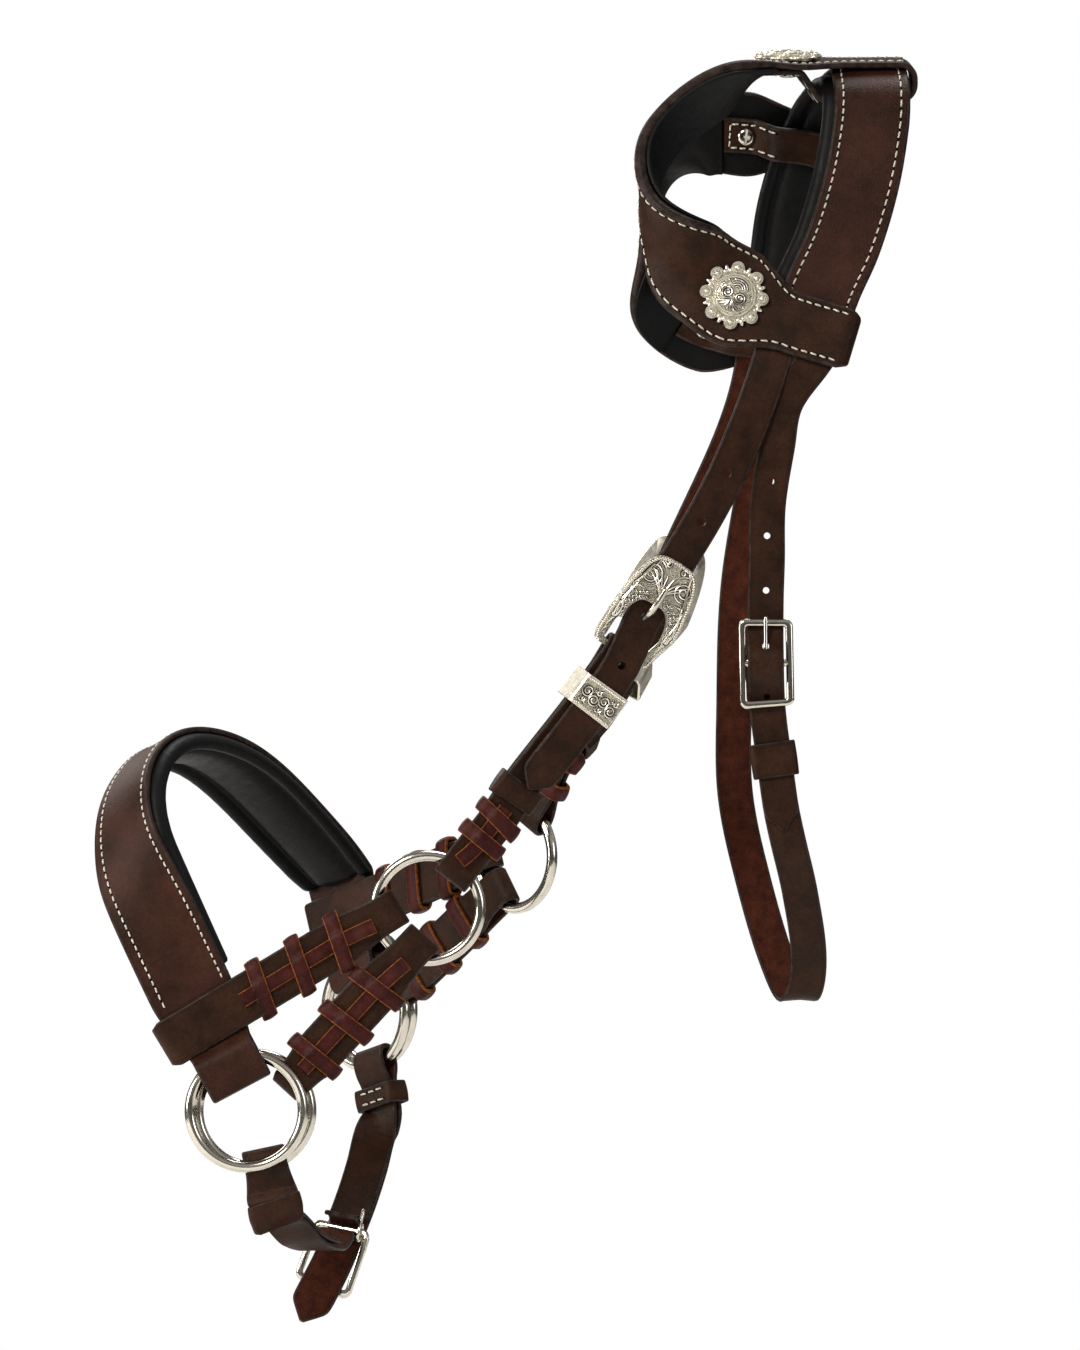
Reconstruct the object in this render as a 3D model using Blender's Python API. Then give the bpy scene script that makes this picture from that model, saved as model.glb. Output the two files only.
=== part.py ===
"""Sidepull bridle in leather with padded noseband and crown, ear loops and lace-tied rings."""

import bisect
import math

import bmesh
import bpy
from mathutils import Vector

# Overall size, in metres
reach = 0.360
fall = 0.560
spread = 0.120
gap = 0.0003
slack = 0.0006

# Straps
crown_wide = 0.0375
crown_thick = 0.003
crown_pad = 0.0058
noseband_wide = 0.0375
noseband_end_wide = 0.0285
noseband_thick = 0.0026
noseband_pad = 0.0066
cheek_wide = 0.017
throat_wide = 0.0158
chin_wide = 0.0184
chin_end_wide = 0.0138
ply = 0.0021
billet_thick = 0.0023
connector_wide = 0.0215
connector_end_wide = 0.0168
ear_wide = 0.036
ear_waist = 0.024
ear_end_wide = 0.0225
ear_tab_wide = 0.0160
ear_thick = 0.0028
ear_lining_thick = 0.0016
ply_gap = 0.0010
cheek_ply_gap = 0.0012

# Rings and hardware
wire = 0.0048
cheek_ring_across = 0.0510
lower_ring_across = 0.0545
rein_ring_rise = 0.0080
ring_shift = 0.0034
hole_across = 0.0036
hole_pitch = 0.0242
bar = 0.0030
concho_across = 0.0315
concho_rise = 0.0042
screw_across = 0.0074
screw_rise = 0.0014
post_across = 0.0040
silver_keeper_long = 0.0150
leather_keeper_long = 0.0110
keeper_thick = 0.0016
silver_thick = 0.0012
lace_wide = 0.0072
lace_thick = 0.0013

# Places along the cheek, measured from the cheek ring centre
keeper_at = 0.0640
silver_at = 0.1180
heel_at = 0.1415
hole_at = 0.1600
arch_at = 0.1665
crest_at = 0.1880
billet_end_at = 0.0735
billet_side = 0.0022
heel_wide = 0.0270
crest_wide = 0.0370
plate_thick = 0.0026

# Places on the two connectors and the noseband ends
front_run = 0.1090
front_offset = 0.0074
rear_run = 0.1172
rear_offset = 0.0074
front_angle = math.radians(211)
rear_angle = math.radians(227.5)
ring_segments = 28
rear_miss = 0.0035
bow_long = 0.0250
throat_bow = 0.0356
throat_bow_wide = 0.0240
throat_bar = 0.0029
throat_thick = 0.0019
concho_from_crown = 0.0342
tab_over = 0.0095
wire_segments = 8


def place(shares):
    """Point from shares of the reach, the spread and the fall."""
    return Vector((shares[0] * reach, shares[1] * spread, shares[2] * fall))


class Spine:
    """Centre line of a strap: s runs along it, t across and h out of its face."""

    def __init__(self, stops, fine=16):
        spots = [stop[0] for stop in stops]
        ways = []
        for i, stop in enumerate(stops):
            before = spots[max(i - 1, 0)]
            after = spots[min(i + 1, len(spots) - 1)]
            way = stop[2] if len(stop) > 2 and stop[2] else after - before
            ways.append(way.normalized())
        self.runs = []
        self.frames = []
        run = 0
        last = None
        for i in range(len(stops) - 1):
            span = (spots[i + 1] - spots[i]).length
            steps = range(fine + 1) if i == len(stops) - 2 else range(fine)
            for k in steps:
                u = k / fine
                a = 2 * u**3 - 3 * u**2 + 1
                b = u**3 - 2 * u**2 + u
                c = 3 * u**2 - 2 * u**3
                d = u**3 - u**2
                spot = spots[i] * a + ways[i] * (b * span) + spots[i + 1] * c
                spot = spot + ways[i + 1] * (d * span)
                a = 6 * u**2 - 6 * u
                b = 3 * u**2 - 4 * u + 1
                d = 3 * u**2 - 2 * u
                way = (spots[i] - spots[i + 1]) * a + ways[i] * (b * span)
                way = (way + ways[i + 1] * (d * span)).normalized()
                ease = 3 * u**2 - 2 * u**3
                side = stops[i][1].lerp(stops[i + 1][1], ease)
                side = (side - way * side.dot(way)).normalized()
                run += (spot - last).length if last else 0
                last = spot
                self.runs.append(run)
                self.frames.append((spot, way, side, side.cross(way)))
        self.long = run

    def at(self, s):
        """Place, heading, side and outward direction at s; straight beyond the ends."""
        if s <= 0:
            spot, way, side, out = self.frames[0]
            return spot + way * s, way, side, out
        if s >= self.long:
            spot, way, side, out = self.frames[-1]
            return spot + way * (s - self.long), way, side, out
        i = bisect.bisect_right(self.runs, s) - 1
        i = min(i, len(self.runs) - 2)
        u = (s - self.runs[i]) / (self.runs[i + 1] - self.runs[i])
        one = self.frames[i]
        two = self.frames[i + 1]
        spot = one[0].lerp(two[0], u)
        way = one[1].lerp(two[1], u).normalized()
        side = one[2].lerp(two[2], u)
        side = (side - way * side.dot(way)).normalized()
        return spot, way, side, side.cross(way)

    def put(self, s, t, h):
        spot, _, side, out = self.at(s)
        return spot + side * t + out * h

    def near(self, spot):
        """The s nearest to a point."""
        best = min(range(len(self.runs)), key=lambda i: (self.frames[i][0] - spot).length)
        return self.runs[best]


def lace(name, line, turns, half, high, surface, run, tail):
    """Flat lace: turns round a strap, a lengthwise run over them and a loose end."""
    pieces = []
    for s in turns:
        rows = collar(line, s, lace_wide, -half, half, -high, high, lace_thick, 2)
        pieces.append(solid(name, rows, True, lace_leather))
    for points, low, top in ((run, 0.12, 0.86), (tail, 0.4, 1.6)):
        rows = []
        for s, t in points:
            level = surface(s) + gap
            rows.append(
                [
                    line.put(s, t - lace_wide * 0.48, level + lace_thick * low),
                    line.put(s, t + lace_wide * 0.48, level + lace_thick * low),
                    line.put(s, t + lace_wide * 0.48, level + lace_thick * top),
                    line.put(s, t - lace_wide * 0.48, level + lace_thick * top),
                ]
            )
        pieces.append(solid("lace_piece", rows, False, None))
    combine(pieces[0], pieces[1:], "UNION")


def straight(start, way, out):
    """Straight spine from a point, with its outward face given."""
    way = way.normalized()
    side = way.cross(out).normalized()
    return Spine([(start, side, way), (start + way * reach, side, way)], 2)


def finish(name, points, faces, material):
    mesh = bpy.data.meshes.new(name)
    mesh.from_pydata([tuple(p) for p in points], [], faces)
    shape = bmesh.new()
    shape.from_mesh(mesh)
    bmesh.ops.recalc_face_normals(shape, faces=shape.faces)
    if shape.calc_volume(signed=True) < 0:
        bmesh.ops.reverse_faces(shape, faces=shape.faces)
    shape.to_mesh(mesh)
    shape.free()
    thing = bpy.data.objects.new(name, mesh)
    bpy.context.scene.collection.objects.link(thing)
    if material:
        mesh.materials.append(material)
    return thing


def skin(rows, ring):
    """Faces between rows of points, capped at both ends unless the rows close into a ring."""
    count = len(rows[0])
    points = [p for row in rows for p in row]
    faces = []
    total = len(rows)
    for i in range(total if ring else total - 1):
        j = (i + 1) % total
        for k in range(count):
            m = (k + 1) % count
            one, two, three, four = i * count + k, i * count + m, j * count + m, j * count + k
            if count != 4:
                faces.append((one, two, three, four))
            elif k < 2:
                faces += [(one, two, three), (one, three, four)]
            else:
                faces += [(one, two, four), (two, three, four)]
    if not ring:
        faces.append(tuple(range(count - 1, -1, -1)))
        faces.append(tuple((total - 1) * count + k for k in range(count)))
    return points, faces


def solid(name, rows, ring, material):
    points, faces = skin(rows, ring)
    return finish(name, points, faces, material)


def offsets(path, ring):
    """Unit normals of a path in the plane of s and h, mitred at its bends."""
    normals = []
    total = len(path)
    for i in range(total):
        before = path[(i - 1) % total] if ring or i > 0 else path[i]
        after = path[(i + 1) % total] if ring or i < total - 1 else path[i]
        one = Vector((path[i][0] - before[0], path[i][1] - before[1]))
        two = Vector((after[0] - path[i][0], after[1] - path[i][1]))
        one = one.normalized() if one.length > 0 else two.normalized()
        two = two.normalized() if two.length > 0 else one
        mid = (one + two).normalized()
        stretch = 1 / max(mid.dot(one), 0.5)
        normals.append((-mid.y * stretch, mid.x * stretch))
    return normals


def folded(name, spine, path, wide, thick, material, ring=False, shift=None, widths=None):
    """Strap of even thickness along a path in s and h; wide and shift may vary with s."""
    rows = []
    for i, ((s, h), (ns, nh)) in enumerate(zip(path, offsets(path, ring))):
        half = (wide(s) if callable(wide) else wide) / 2
        if widths:
            half = widths[i] / 2
        mid = shift(s) if callable(shift) else (shift or 0)
        low = (s - ns * thick / 2, h - nh * thick / 2)
        high = (s + ns * thick / 2, h + nh * thick / 2)
        rows.append(
            [
                spine.put(low[0], mid - half, low[1]),
                spine.put(low[0], mid + half, low[1]),
                spine.put(high[0], mid + half, high[1]),
                spine.put(high[0], mid - half, high[1]),
            ]
        )
    return solid(name, rows, ring, material)


def arc(s, h, radius, start, end, steps):
    """Points on an arc in the plane of s and h, angles in degrees from the s direction."""
    found = []
    for k in range(steps + 1):
        angle = math.radians(start + (end - start) * k / steps)
        found.append((s + radius * math.cos(angle), h + radius * math.sin(angle)))
    return found


def stretch(first, last, steps):
    return [first + (last - first) * k / steps for k in range(steps + 1)]


def blend(value, points):
    """Piecewise value: points are pairs of place and amount."""
    if value <= points[0][0]:
        return points[0][1]
    for (a, u), (b, v) in zip(points, points[1:]):
        if value <= b:
            part = (value - a) / (b - a)
            part = part * part * (3 - 2 * part)
            return u + (v - u) * part
    return points[-1][1]


def collar(spine, s, long, half_low, half_high, low, high, thick, cuts=1):
    """Rows of a band round a strap at s: it closes on itself across the strap."""
    cut = thick * 0.3
    inner = (
        (half_high - cut, high),
        (half_high, high - cut),
        (half_high, low + cut),
        (half_high - cut, low),
        (half_low + cut, low),
        (half_low, low + cut),
        (half_low, high - cut),
        (half_low + cut, high),
    )
    mid_t = (half_low + half_high) / 2
    mid_h = (low + high) / 2
    grow_t = 1 + thick * 2 / (half_high - half_low)
    grow_h = 1 + thick * 2 / (high - low)
    places = stretch(s - long / 2, s + long / 2, cuts)
    rows = []
    for a, b in inner:
        c = mid_t + (a - mid_t) * grow_t
        d = mid_h + (b - mid_h) * grow_h
        row = [spine.put(one, a, b) for one in places]
        rows.append(row + [spine.put(one, c, d) for one in reversed(places)])
    return rows


def torus(name, centre, across_way, up_way, ring_radius, wire_radius, material):
    """Round ring in the plane of two directions."""
    out = across_way.cross(up_way).normalized()
    rows = []
    for i in range(ring_segments):
        a = 2 * math.pi * i / ring_segments
        way = across_way * math.cos(a) + up_way * math.sin(a)
        row = []
        for k in range(wire_segments):
            b = 2 * math.pi * (k + 0.5) / wire_segments
            spot = way * (ring_radius + wire_radius * math.cos(b))
            row.append(centre + spot + out * (wire_radius * math.sin(b)))
        rows.append(row)
    return solid(name, rows, True, material)


def plate(name, spine, outer, inner, middle, thick, material):
    """Frame with an opening: outlines are lists of s and t, middle gives h for each s."""
    rows = []
    for (s, t), (u, v) in zip(outer, inner):
        rows.append(
            [
                spine.put(s, t, middle(s) - thick / 2),
                spine.put(s, t, middle(s) + thick / 2),
                spine.put(u, v, middle(u) + thick / 2),
                spine.put(u, v, middle(u) - thick / 2),
            ]
        )
    return solid(name, rows, True, material)


def pin(name, spine, path, radius, material, side=0, tip=0.6):
    """Round prong along a path in s and h."""
    rows = []
    for i, ((s, h), (ns, nh)) in enumerate(zip(path, offsets(path, False))):
        size = radius * (tip if i == len(path) - 1 else 1)
        row = []
        for k in range(6):
            b = 2 * math.pi * k / 6
            row.append(
                spine.put(
                    s + ns * size * math.cos(b),
                    side + size * math.sin(b),
                    h + nh * size * math.cos(b),
                )
            )
        rows.append(row)
    return solid(name, rows, False, material)


def rod(name, start, end, radius, count, material=None):
    """Round rod between two points."""
    way = (end - start).normalized()
    side = way.orthogonal().normalized()
    up = way.cross(side)
    rows = []
    for spot in (start, end):
        row = []
        for k in range(count):
            b = 2 * math.pi * k / count
            row.append(spot + side * (radius * math.cos(b)) + up * (radius * math.sin(b)))
        rows.append(row)
    return solid(name, rows, False, material)


def turned(name, centre, out, side, profile, count, lobes, material):
    """Round or lobed cap: profile pairs are radius and height along out."""
    up = out.cross(side)
    rows = []
    for radius, height, wave in profile:
        row = []
        for k in range(count):
            a = 2 * math.pi * k / count
            size = radius * (1 + wave * math.cos(lobes * a))
            spot = side * (size * math.cos(a)) + up * (size * math.sin(a))
            row.append(centre + spot + out * height)
        rows.append(row)
    return solid(name, rows, False, material)


def combine(base, tools, operation):
    """Boolean of a body with tool bodies, which stay out of the render."""
    group = bpy.data.collections.new(base.name + "_" + operation.lower())
    bpy.context.scene.collection.children.link(group)
    for tool in tools:
        for owner in list(tool.users_collection):
            owner.objects.unlink(tool)
        group.objects.link(tool)
        tool.hide_render = True
        tool.display_type = "WIRE"
    change = base.modifiers.new(operation.lower(), "BOOLEAN")
    change.operand_type = "COLLECTION"
    change.collection = group
    change.operation = operation
    change.solver = "EXACT"
    return base


def principled(name, colour, rough, metal):
    made = bpy.data.materials.new(name)
    made.use_nodes = True
    shader = made.node_tree.nodes["Principled BSDF"]
    shader.inputs["Base Color"].default_value = (*colour, 1)
    shader.inputs["Roughness"].default_value = rough
    shader.inputs["Metallic"].default_value = metal
    return made


for old in list(bpy.data.objects):
    bpy.data.objects.remove(old)

leather = principled("dyed_strap_leather", (0.045, 0.024, 0.016), 0.5, 0)
lining_leather = principled("black_soft_lining", (0.012, 0.012, 0.013), 0.55, 0)
lace_leather = principled("latigo_lace", (0.10, 0.022, 0.016), 0.5, 0)
silver = principled("engraved_silver_plate", (0.72, 0.69, 0.60), 0.3, 1)
nickel = principled("polished_nickel", (0.68, 0.66, 0.60), 0.18, 1)

# Crown strap: padded band over the poll, near side first
crown_stops = [
    (-0.0794, -0.4542, -0.2059), (-0.0574, -0.4167, -0.1619), (-0.0306, -0.3667, -0.1226),
    (-0.0086, -0.3125, -0.0754), (0.0037, -0.2625, -0.0299), (0.0049, -0.2250, -0.0063),
    (0.0024, -0.1500, 0.0079), (0.0012, -0.0667, 0.0126), (-0.0012, 0.0167, 0.0126),
    (-0.0086, 0.1083, 0.0063), (-0.0244, 0.1917, -0.0110), (-0.0428, 0.2417, -0.0346),
    (-0.0623, 0.2833, -0.0660), (-0.0758, 0.3250, -0.0990), (-0.0843, 0.3750, -0.1399),
    (-0.0953, 0.4167, -0.1776), (-0.1039, 0.4500, -0.2137),
]
rear_side = Vector((1, 0, 0))
crown = Spine([(place(spot), rear_side) for spot in crown_stops])


def crown_run():
    return stretch(0, crown.long, 40)


rows = []
for s in crown_run():
    half = crown_wide / 2
    rows.append(
        [
            crown.put(s, -half, -crown_thick / 2),
            crown.put(s, half, -crown_thick / 2),
            crown.put(s, half, crown_thick / 2),
            crown.put(s, -half, crown_thick / 2),
        ]
    )
crown_strap = solid("crown_strap", rows, False, leather)

# Crown lining: rolled rims and a raised middle pad; shares of half the width and of the pad depth
pad_shares = ((-1.03, 0.35), (-0.98, 0.75), (-0.82, 0.9), (-0.66, 0.62), (-0.4, 0.95))
pad_shares += ((0, 1), (0.4, 0.95), (0.66, 0.62), (0.82, 0.9), (0.98, 0.75), (1.03, 0.35))


def cushion(name, spine, places, wide, top, depth, material):
    """Padded lining under a strap: thinner towards both of its ends."""
    rows = []
    first = places[0]
    last = places[-1]
    for s in places:
        ease = blend(min(s - first, last - s), ((0, 0.45), (wide / 2, 1)))
        row = [spine.put(s, -wide / 2, -top), spine.put(s, wide / 2, -top)]
        for share, deep in reversed(pad_shares):
            row.append(spine.put(s, share * wide / 2, -top - deep * depth * ease))
        rows.append(row)
    return solid(name, rows, False, material)


lining_top = crown_thick / 2 + gap
lining_run = [s for s in crown_run() if crown_wide * 0.56 < s < crown.long - crown_wide * 0.56]
cushion("crown_lining", crown, lining_run, crown_wide, lining_top, crown_pad, lining_leather)


class Side:
    """One side of the bridle: the plane of its rings, from the cheek ring centre."""

    def __init__(self, mark, hub, fore, out, turn, hand):
        self.mark = mark
        self.hub = hub
        self.fore = fore.normalized()
        self.out = out.normalized()
        self.turn = turn
        self.hand = hand

    def way(self, angle):
        angle = angle + self.turn
        return self.fore * math.cos(angle) + Vector((0, 0, 1)) * math.sin(angle)


near = Side("left", place((-0.5341, -0.4833, -0.6474)), Vector((1, 0, 0)), Vector((0, -1, 0)), 0, 1)
far = Side(
    "right", place((-0.4278, 0.0000, -0.6074)), Vector((1, -1, 0)), Vector((1, 1, 0)), math.radians(-13), -1
)

# Cheek lines from each cheek ring up to its buckle and on to the crown split
near_cheek_shares = [
    (-0.4180, -0.4833, -0.5484), (-0.3569, -0.4833, -0.4981), (-0.3239, -0.4833, -0.4699),
    (-0.2982, -0.4833, -0.4455), (-0.2652, -0.4833, -0.4086), (-0.2249, -0.4833, -0.3669),
]
near_way = place((-0.4889, -0.4833, -0.6105)) - near.hub
twist = Vector((0.84, 0.26, -0.48))
near_way = near_way.normalized()
near_stops = [(near.hub + near_way * wire * k, near_way.cross(near.out), near_way) for k in (0, 9.5)]
near_stops += [(place(spot), twist) for spot in near_cheek_shares]
near.cheek = Spine(near_stops)

far_way = far.fore * 0.515 + Vector((0, 0, 0.857))
far_side_way = far_way.cross(far.out)
far_turned = Vector((-0.92, -0.12, 0.35))
far_stops = [(far.hub + far_way * wire * k, far_side_way, far_way) for k in (0, 9.5)]
far_cheek_shares = [
    (-0.3239, 0.0833, -0.4903), (-0.2860, 0.2500, -0.4479), (-0.2603, 0.3500, -0.4188),
    (-0.2408, 0.4083, -0.3944), (-0.2114, 0.4417, -0.3544),
]
far_stops += [(place(spot), far_turned) for spot in far_cheek_shares]
far.cheek = Spine(far_stops)

ring_radius = (cheek_ring_across - wire) / 2
lower_radius = (lower_ring_across - wire) / 2
billets = []
cutters = []


def reach_in(radius, edge):
    """How far from a ring centre a flat fold of this half width clears the wire."""
    inside = radius - wire / 2
    return math.sqrt(max(inside**2 - edge**2, 0)) - slack


def hairpin(near_s, far_s, near_open, far_open, ply_mid, thick, steps):
    """Closed path of a strap folded round something at both ends; opens are inner heights."""
    a = near_open / 2 + thick / 2
    b = far_open / 2 + thick / 2
    m = ply_mid
    lead = a * 2.2
    trail = b * 2.2
    path = arc(near_s + a, 0, a, 90, 270, 6)
    path += [(near_s + a + wire, -a), (near_s + a + wire + lead, -m)]
    middle = stretch(near_s + a + wire + lead, far_s - b - wire - trail, steps)
    path += [(s, -m) for s in middle[1:]]
    path += [(far_s - b - wire, -b)]
    path += arc(far_s - b, 0, b, -90, 90, 6)
    path += [(far_s - b - wire, b), (far_s - b - wire - trail, m)]
    path += [(s, m) for s in middle[-2::-1]]
    path += [(near_s + a + wire, a)]
    return path


def build_cheek(side):
    mark = side.mark
    spine = side.cheek
    flip = side.hand
    # Lower cheek strap: folded round the cheek ring and round the buckle heel bar
    start = reach_in(ring_radius, cheek_wide / 2) - ply
    end = heel_at + bar / 2 + slack + ply
    path = hairpin(start, end, wire + slack * 2, bar + slack * 2, (cheek_ply_gap + ply) / 2, ply, 24)
    strap = folded("cheek_strap_" + mark, spine, path, cheek_wide, ply, leather, ring=True)
    slot = [
        [
            spine.put(s, t, h)
            for t, h in (
                (-bar * 0.6, -bar * 1.6),
                (bar * 0.6, -bar * 1.6),
                (bar * 0.6, bar * 1.6),
                (-bar * 0.6, bar * 1.6),
            )
        ]
        for s in (heel_at - bar * 1.9, heel_at + bar * 2)
    ]
    combine(strap, [solid("slot_" + mark, slot, False, None)], "DIFFERENCE")

    # Cheek ring
    centre = side.hub
    torus("cheek_ring_" + mark, centre, side.fore, Vector((0, 0, 1)), ring_radius, wire / 2, nickel)

    # Lace above the ring
    half = cheek_wide / 2 + slack * (1.5 if flip > 0 else 2.6)
    level = cheek_ply_gap / 2 + ply
    bulge = (wire + slack * 2 + ply) / 2
    ring_out = start + bulge + wire

    def surface(s):
        return blend(s, ((ring_out, bulge + ply * 0.62), (ring_out + bulge * 2.2, level))) + gap * 2

    first = ring_out + bulge * 2.2 + lace_wide * 0.62
    turns = (first, keeper_at - leather_keeper_long / 2 - lace_wide * 0.95)
    run = [(s, 0) for s in stretch(turns[0] - lace_wide * 0.2, turns[1] + lace_wide * 0.2, 4)]
    tail = [(turns[0], 0), (first - lace_wide * 0.7, -lace_wide * 0.2 * flip)]
    tail += [(ring_out + bulge * 0.6, -lace_wide * 0.42 * flip), (ring_out, -lace_wide * 0.45 * flip)]
    lace("cheek_lace_" + mark, spine, turns, half, level + slack * 1.6, surface, run, tail)

    # Leather keeper and silver keeper
    half = cheek_wide / 2 + slack
    high = cheek_ply_gap / 2 + ply + slack
    rows = collar(spine, keeper_at, leather_keeper_long, -half, half, -high, high, keeper_thick, 3)
    solid("cheek_keeper_" + mark, rows, True, leather)
    top = bar / 2 + slack + ply + gap * 2 + billet_thick + slack
    side_low = -half - (billet_side if flip > 0 else 0)
    side_high = half + (0 if flip > 0 else billet_side)
    rows = collar(spine, silver_at, silver_keeper_long, side_low, side_high, -high, top, silver_thick)
    solid("silver_keeper_" + mark, rows, True, silver)

    # Engraved buckle: heel bar, two legs and an arched top plate
    leg = 0.0042
    outer = []
    inner = []
    count = 12
    for k in range(count + 1):
        angle = math.pi * k / count
        swell = math.sin(angle)
        across = math.cos(angle)
        s = blend(swell, ((0, heel_at + (arch_at - heel_at) * 0.55), (1, crest_at)))
        outer.append((s, across * crest_wide / 2 * (0.90 + 0.10 * swell)))
        s = blend(swell, ((0, heel_at + (arch_at - heel_at) * 0.45), (1, arch_at)))
        inner.append((s, across * (cheek_wide / 2 + slack + billet_side)))
    heel_half = heel_wide / 2
    inner_half = cheek_wide / 2 + slack + billet_side
    outer.append((heel_at + bar, -heel_half - leg * 0.1))
    inner.append((heel_at + bar * 1.2, -inner_half))
    outer.append((heel_at - bar / 2, -heel_half + bar / 3))
    inner.append((heel_at + bar / 2, -inner_half + bar / 4))
    outer.append((heel_at - bar / 2, 0))
    inner.append((heel_at + bar / 2, 0))
    outer.append((heel_at - bar / 2, heel_half - bar / 3))
    inner.append((heel_at + bar / 2, inner_half - bar / 4))
    outer.append((heel_at + bar, heel_half + leg * 0.1))
    inner.append((heel_at + bar * 1.2, inner_half))
    lift = bar / 2 + slack + ply + gap * 2 + billet_thick + slack + plate_thick / 2

    def rise(s):
        return blend(s, ((heel_at + bar * 0.6, 0), (hole_at - bar * 0.3, lift)))

    plate("cheek_buckle_" + mark, spine, outer, inner, rise, plate_thick, silver)

    # Tongue: an eye round the heel bar, then up through the billet hole onto the plate
    eye = bar / 2 + slack + bar * 0.35
    pin_radius = 0.0011
    over = lift + plate_thick / 2 + gap + pin_radius
    path = arc(heel_at, 0, eye, 330, 90, 7)
    path += [(heel_at + bar, eye), (hole_at - bar, lift * 0.3), (hole_at + bar * 1.3, over)]
    path += [(arch_at + bar * 2, over), (arch_at + bar * 3, over)]
    pin("cheek_tongue_" + mark, spine, path, pin_radius, nickel)
    hole = [spine.put(hole_at - bar * 2.4, 0, -lift * 0.5), spine.put(hole_at + bar * 2.0, 0, over * 1.5)]
    cutters.append(rod("hole_" + mark, hole[0], hole[1], pin_radius * 2.9, 8))

    # Billet: from the crown split, behind the plate, over the heel bar and through the keepers
    level = bar / 2 + slack + ply + gap * 2 + billet_thick / 2
    drift = -billet_side * flip * 0.4
    last = 0 if flip > 0 else crown.long
    inward = 1 if flip > 0 else -1
    root, root_way, root_side, _ = crown.at(last + inward * crown_wide * 0.2)
    root = crown.put(last + inward * crown_wide * 0.2, -crown_wide * 0.26, 0)
    down = -root_way * inward
    stops = [(root, -root_side * inward, down)]
    free = crown.put(last - inward * crown_wide * 0.1, -crown_wide * 0.27, 0)
    stops.append((free, -root_side * inward, down))
    for s in stretch(crest_at + crown_wide * 0.3, keeper_at + leather_keeper_long, 18):
        spot, way, across, out = spine.at(s)
        stops.append((spine.put(s, drift, level), -across, -way))
    line = Spine(stops)
    end = line.near(spine.put(billet_end_at, drift, level))

    def point_wide(s):
        left = max(end - s, 0)
        return cheek_wide * blend(left, ((0, 0.12), (cheek_wide * 0.22, 0.62), (cheek_wide * 0.6, 1)))

    path = [(s, 0) for s in stretch(0, end - cheek_wide, 22)]
    path += [(end - cheek_wide * share, 0) for share in (0.6, 0.4, 0.22, 0.1, 0)]
    billets.append(folded("billet_" + mark, line, path, point_wide, billet_thick, None))
    first = line.near(spine.put(hole_at, drift, level))
    for step in (-3, -2, -1, 1):
        spot, _, _, out = line.at(first + step * hole_pitch)
        cutters.append(
            rod("punch", spot - out * billet_thick, spot + out * billet_thick, hole_across / 2, 8)
        )
    side.billet = line


build_cheek(near)
build_cheek(far)


def build_connector(side, kind):
    """Strap folded round the cheek ring and round the noseband or the lower ring, with its lace."""
    mark = side.mark
    flip = side.hand
    front = kind == "front"
    angle = front_angle if front else rear_angle
    way = side.way(angle)
    across = way.cross(side.out)
    offset = front_offset * flip if front else -rear_offset * flip
    line = straight(side.hub + across * offset, way, side.out)
    edge = abs(offset) + connector_end_wide / 2
    start = reach_in(ring_radius, edge) - ply
    mid = (ply_gap + ply) / 2
    if front:
        end = front_run + noseband_wide / 2 + slack * 2 + ply
        opening = noseband_thick * 2 + ply_gap + slack * 2
        flat = noseband_wide + slack * 4
    else:
        edge = connector_end_wide / 2 + rear_miss
        end = rear_run - reach_in(lower_radius, edge) + ply
        opening = wire + slack * 2
        flat = 0
    a = wire / 2 + slack + ply / 2
    b = opening / 2 + ply / 2
    lead = a * 2.4
    first = start + a + wire * 1.9
    final = end - b - (flat if flat else wire * 1.9)
    path = arc(start + a, 0, a, 90, 270, 6)
    path += [(first, -a), (first + lead, -mid)]
    middle = stretch(first + lead, final - b * 0.9, 4)
    path += [(s, -mid) for s in middle[1:]]
    path += [(final, -b)]
    path += arc(end - b, 0, b, -90, 90, 6)
    path += [(final, b)]
    path += [(s, mid) for s in middle[::-1]]
    path += [(first, a)]
    full = first + lead

    def wide(s):
        tail = connector_wide if front else connector_end_wide
        return blend(
            s,
            (
                (start + wire * 2, connector_end_wide),
                (full + wire * 1.4, connector_wide),
                (end - wire * 4, connector_wide),
                (end - wire * 2, tail),
            ),
        )

    folded(kind + "_connector_" + mark, line, path, wide, ply, leather, ring=True)

    # Lace: three turns round the strap, a lengthwise run over them and a knotted end
    half = connector_wide / 2 + slack
    high = ply_gap / 2 + ply + gap

    def surface(s):
        return blend(s, ((first, a + ply * 0.62), (full, mid + ply / 2)))

    turns = stretch(full + lace_wide * 1.08, final - b * 0.9 - lace_wide * 0.62, 2)
    run = [(turns[0] - lace_wide * 0.2, 0), (turns[1], 0), (turns[2] + lace_wide * 0.2, 0)]
    slip = lace_wide * 0.22 * flip
    tail = [(turns[0], 0), (full, -slip), (full - lead * 0.3, -slip * 2), (first + lead * 0.1, -slip * 3)]
    lace(kind + "_lace_" + mark, line, turns, half, high, surface, run, tail)
    return line


for side in (near, far):
    side.front = build_connector(side, "front")
    # The lower rings lie on the rear connector line; the rein ring stands outside the chin ring
    rear = build_connector(side, "rear")
    side.rear = rear
    side.low_hub = rear.put(rear_run, rear_miss * side.hand, 0)
    side.crossing = side.front.put(front_run, 0, 0)
    up = Vector((0, 0, 1))
    torus(
        "chin_ring_" + side.mark, side.low_hub, side.fore, up, lower_radius, wire / 2, nickel
    )
    shift = side.way(math.radians(180)) * ring_shift
    torus(
        "rein_ring_" + side.mark, side.low_hub + side.out * rein_ring_rise + shift,
        side.fore, up, lower_radius, wire / 2, nickel,
    )


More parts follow.
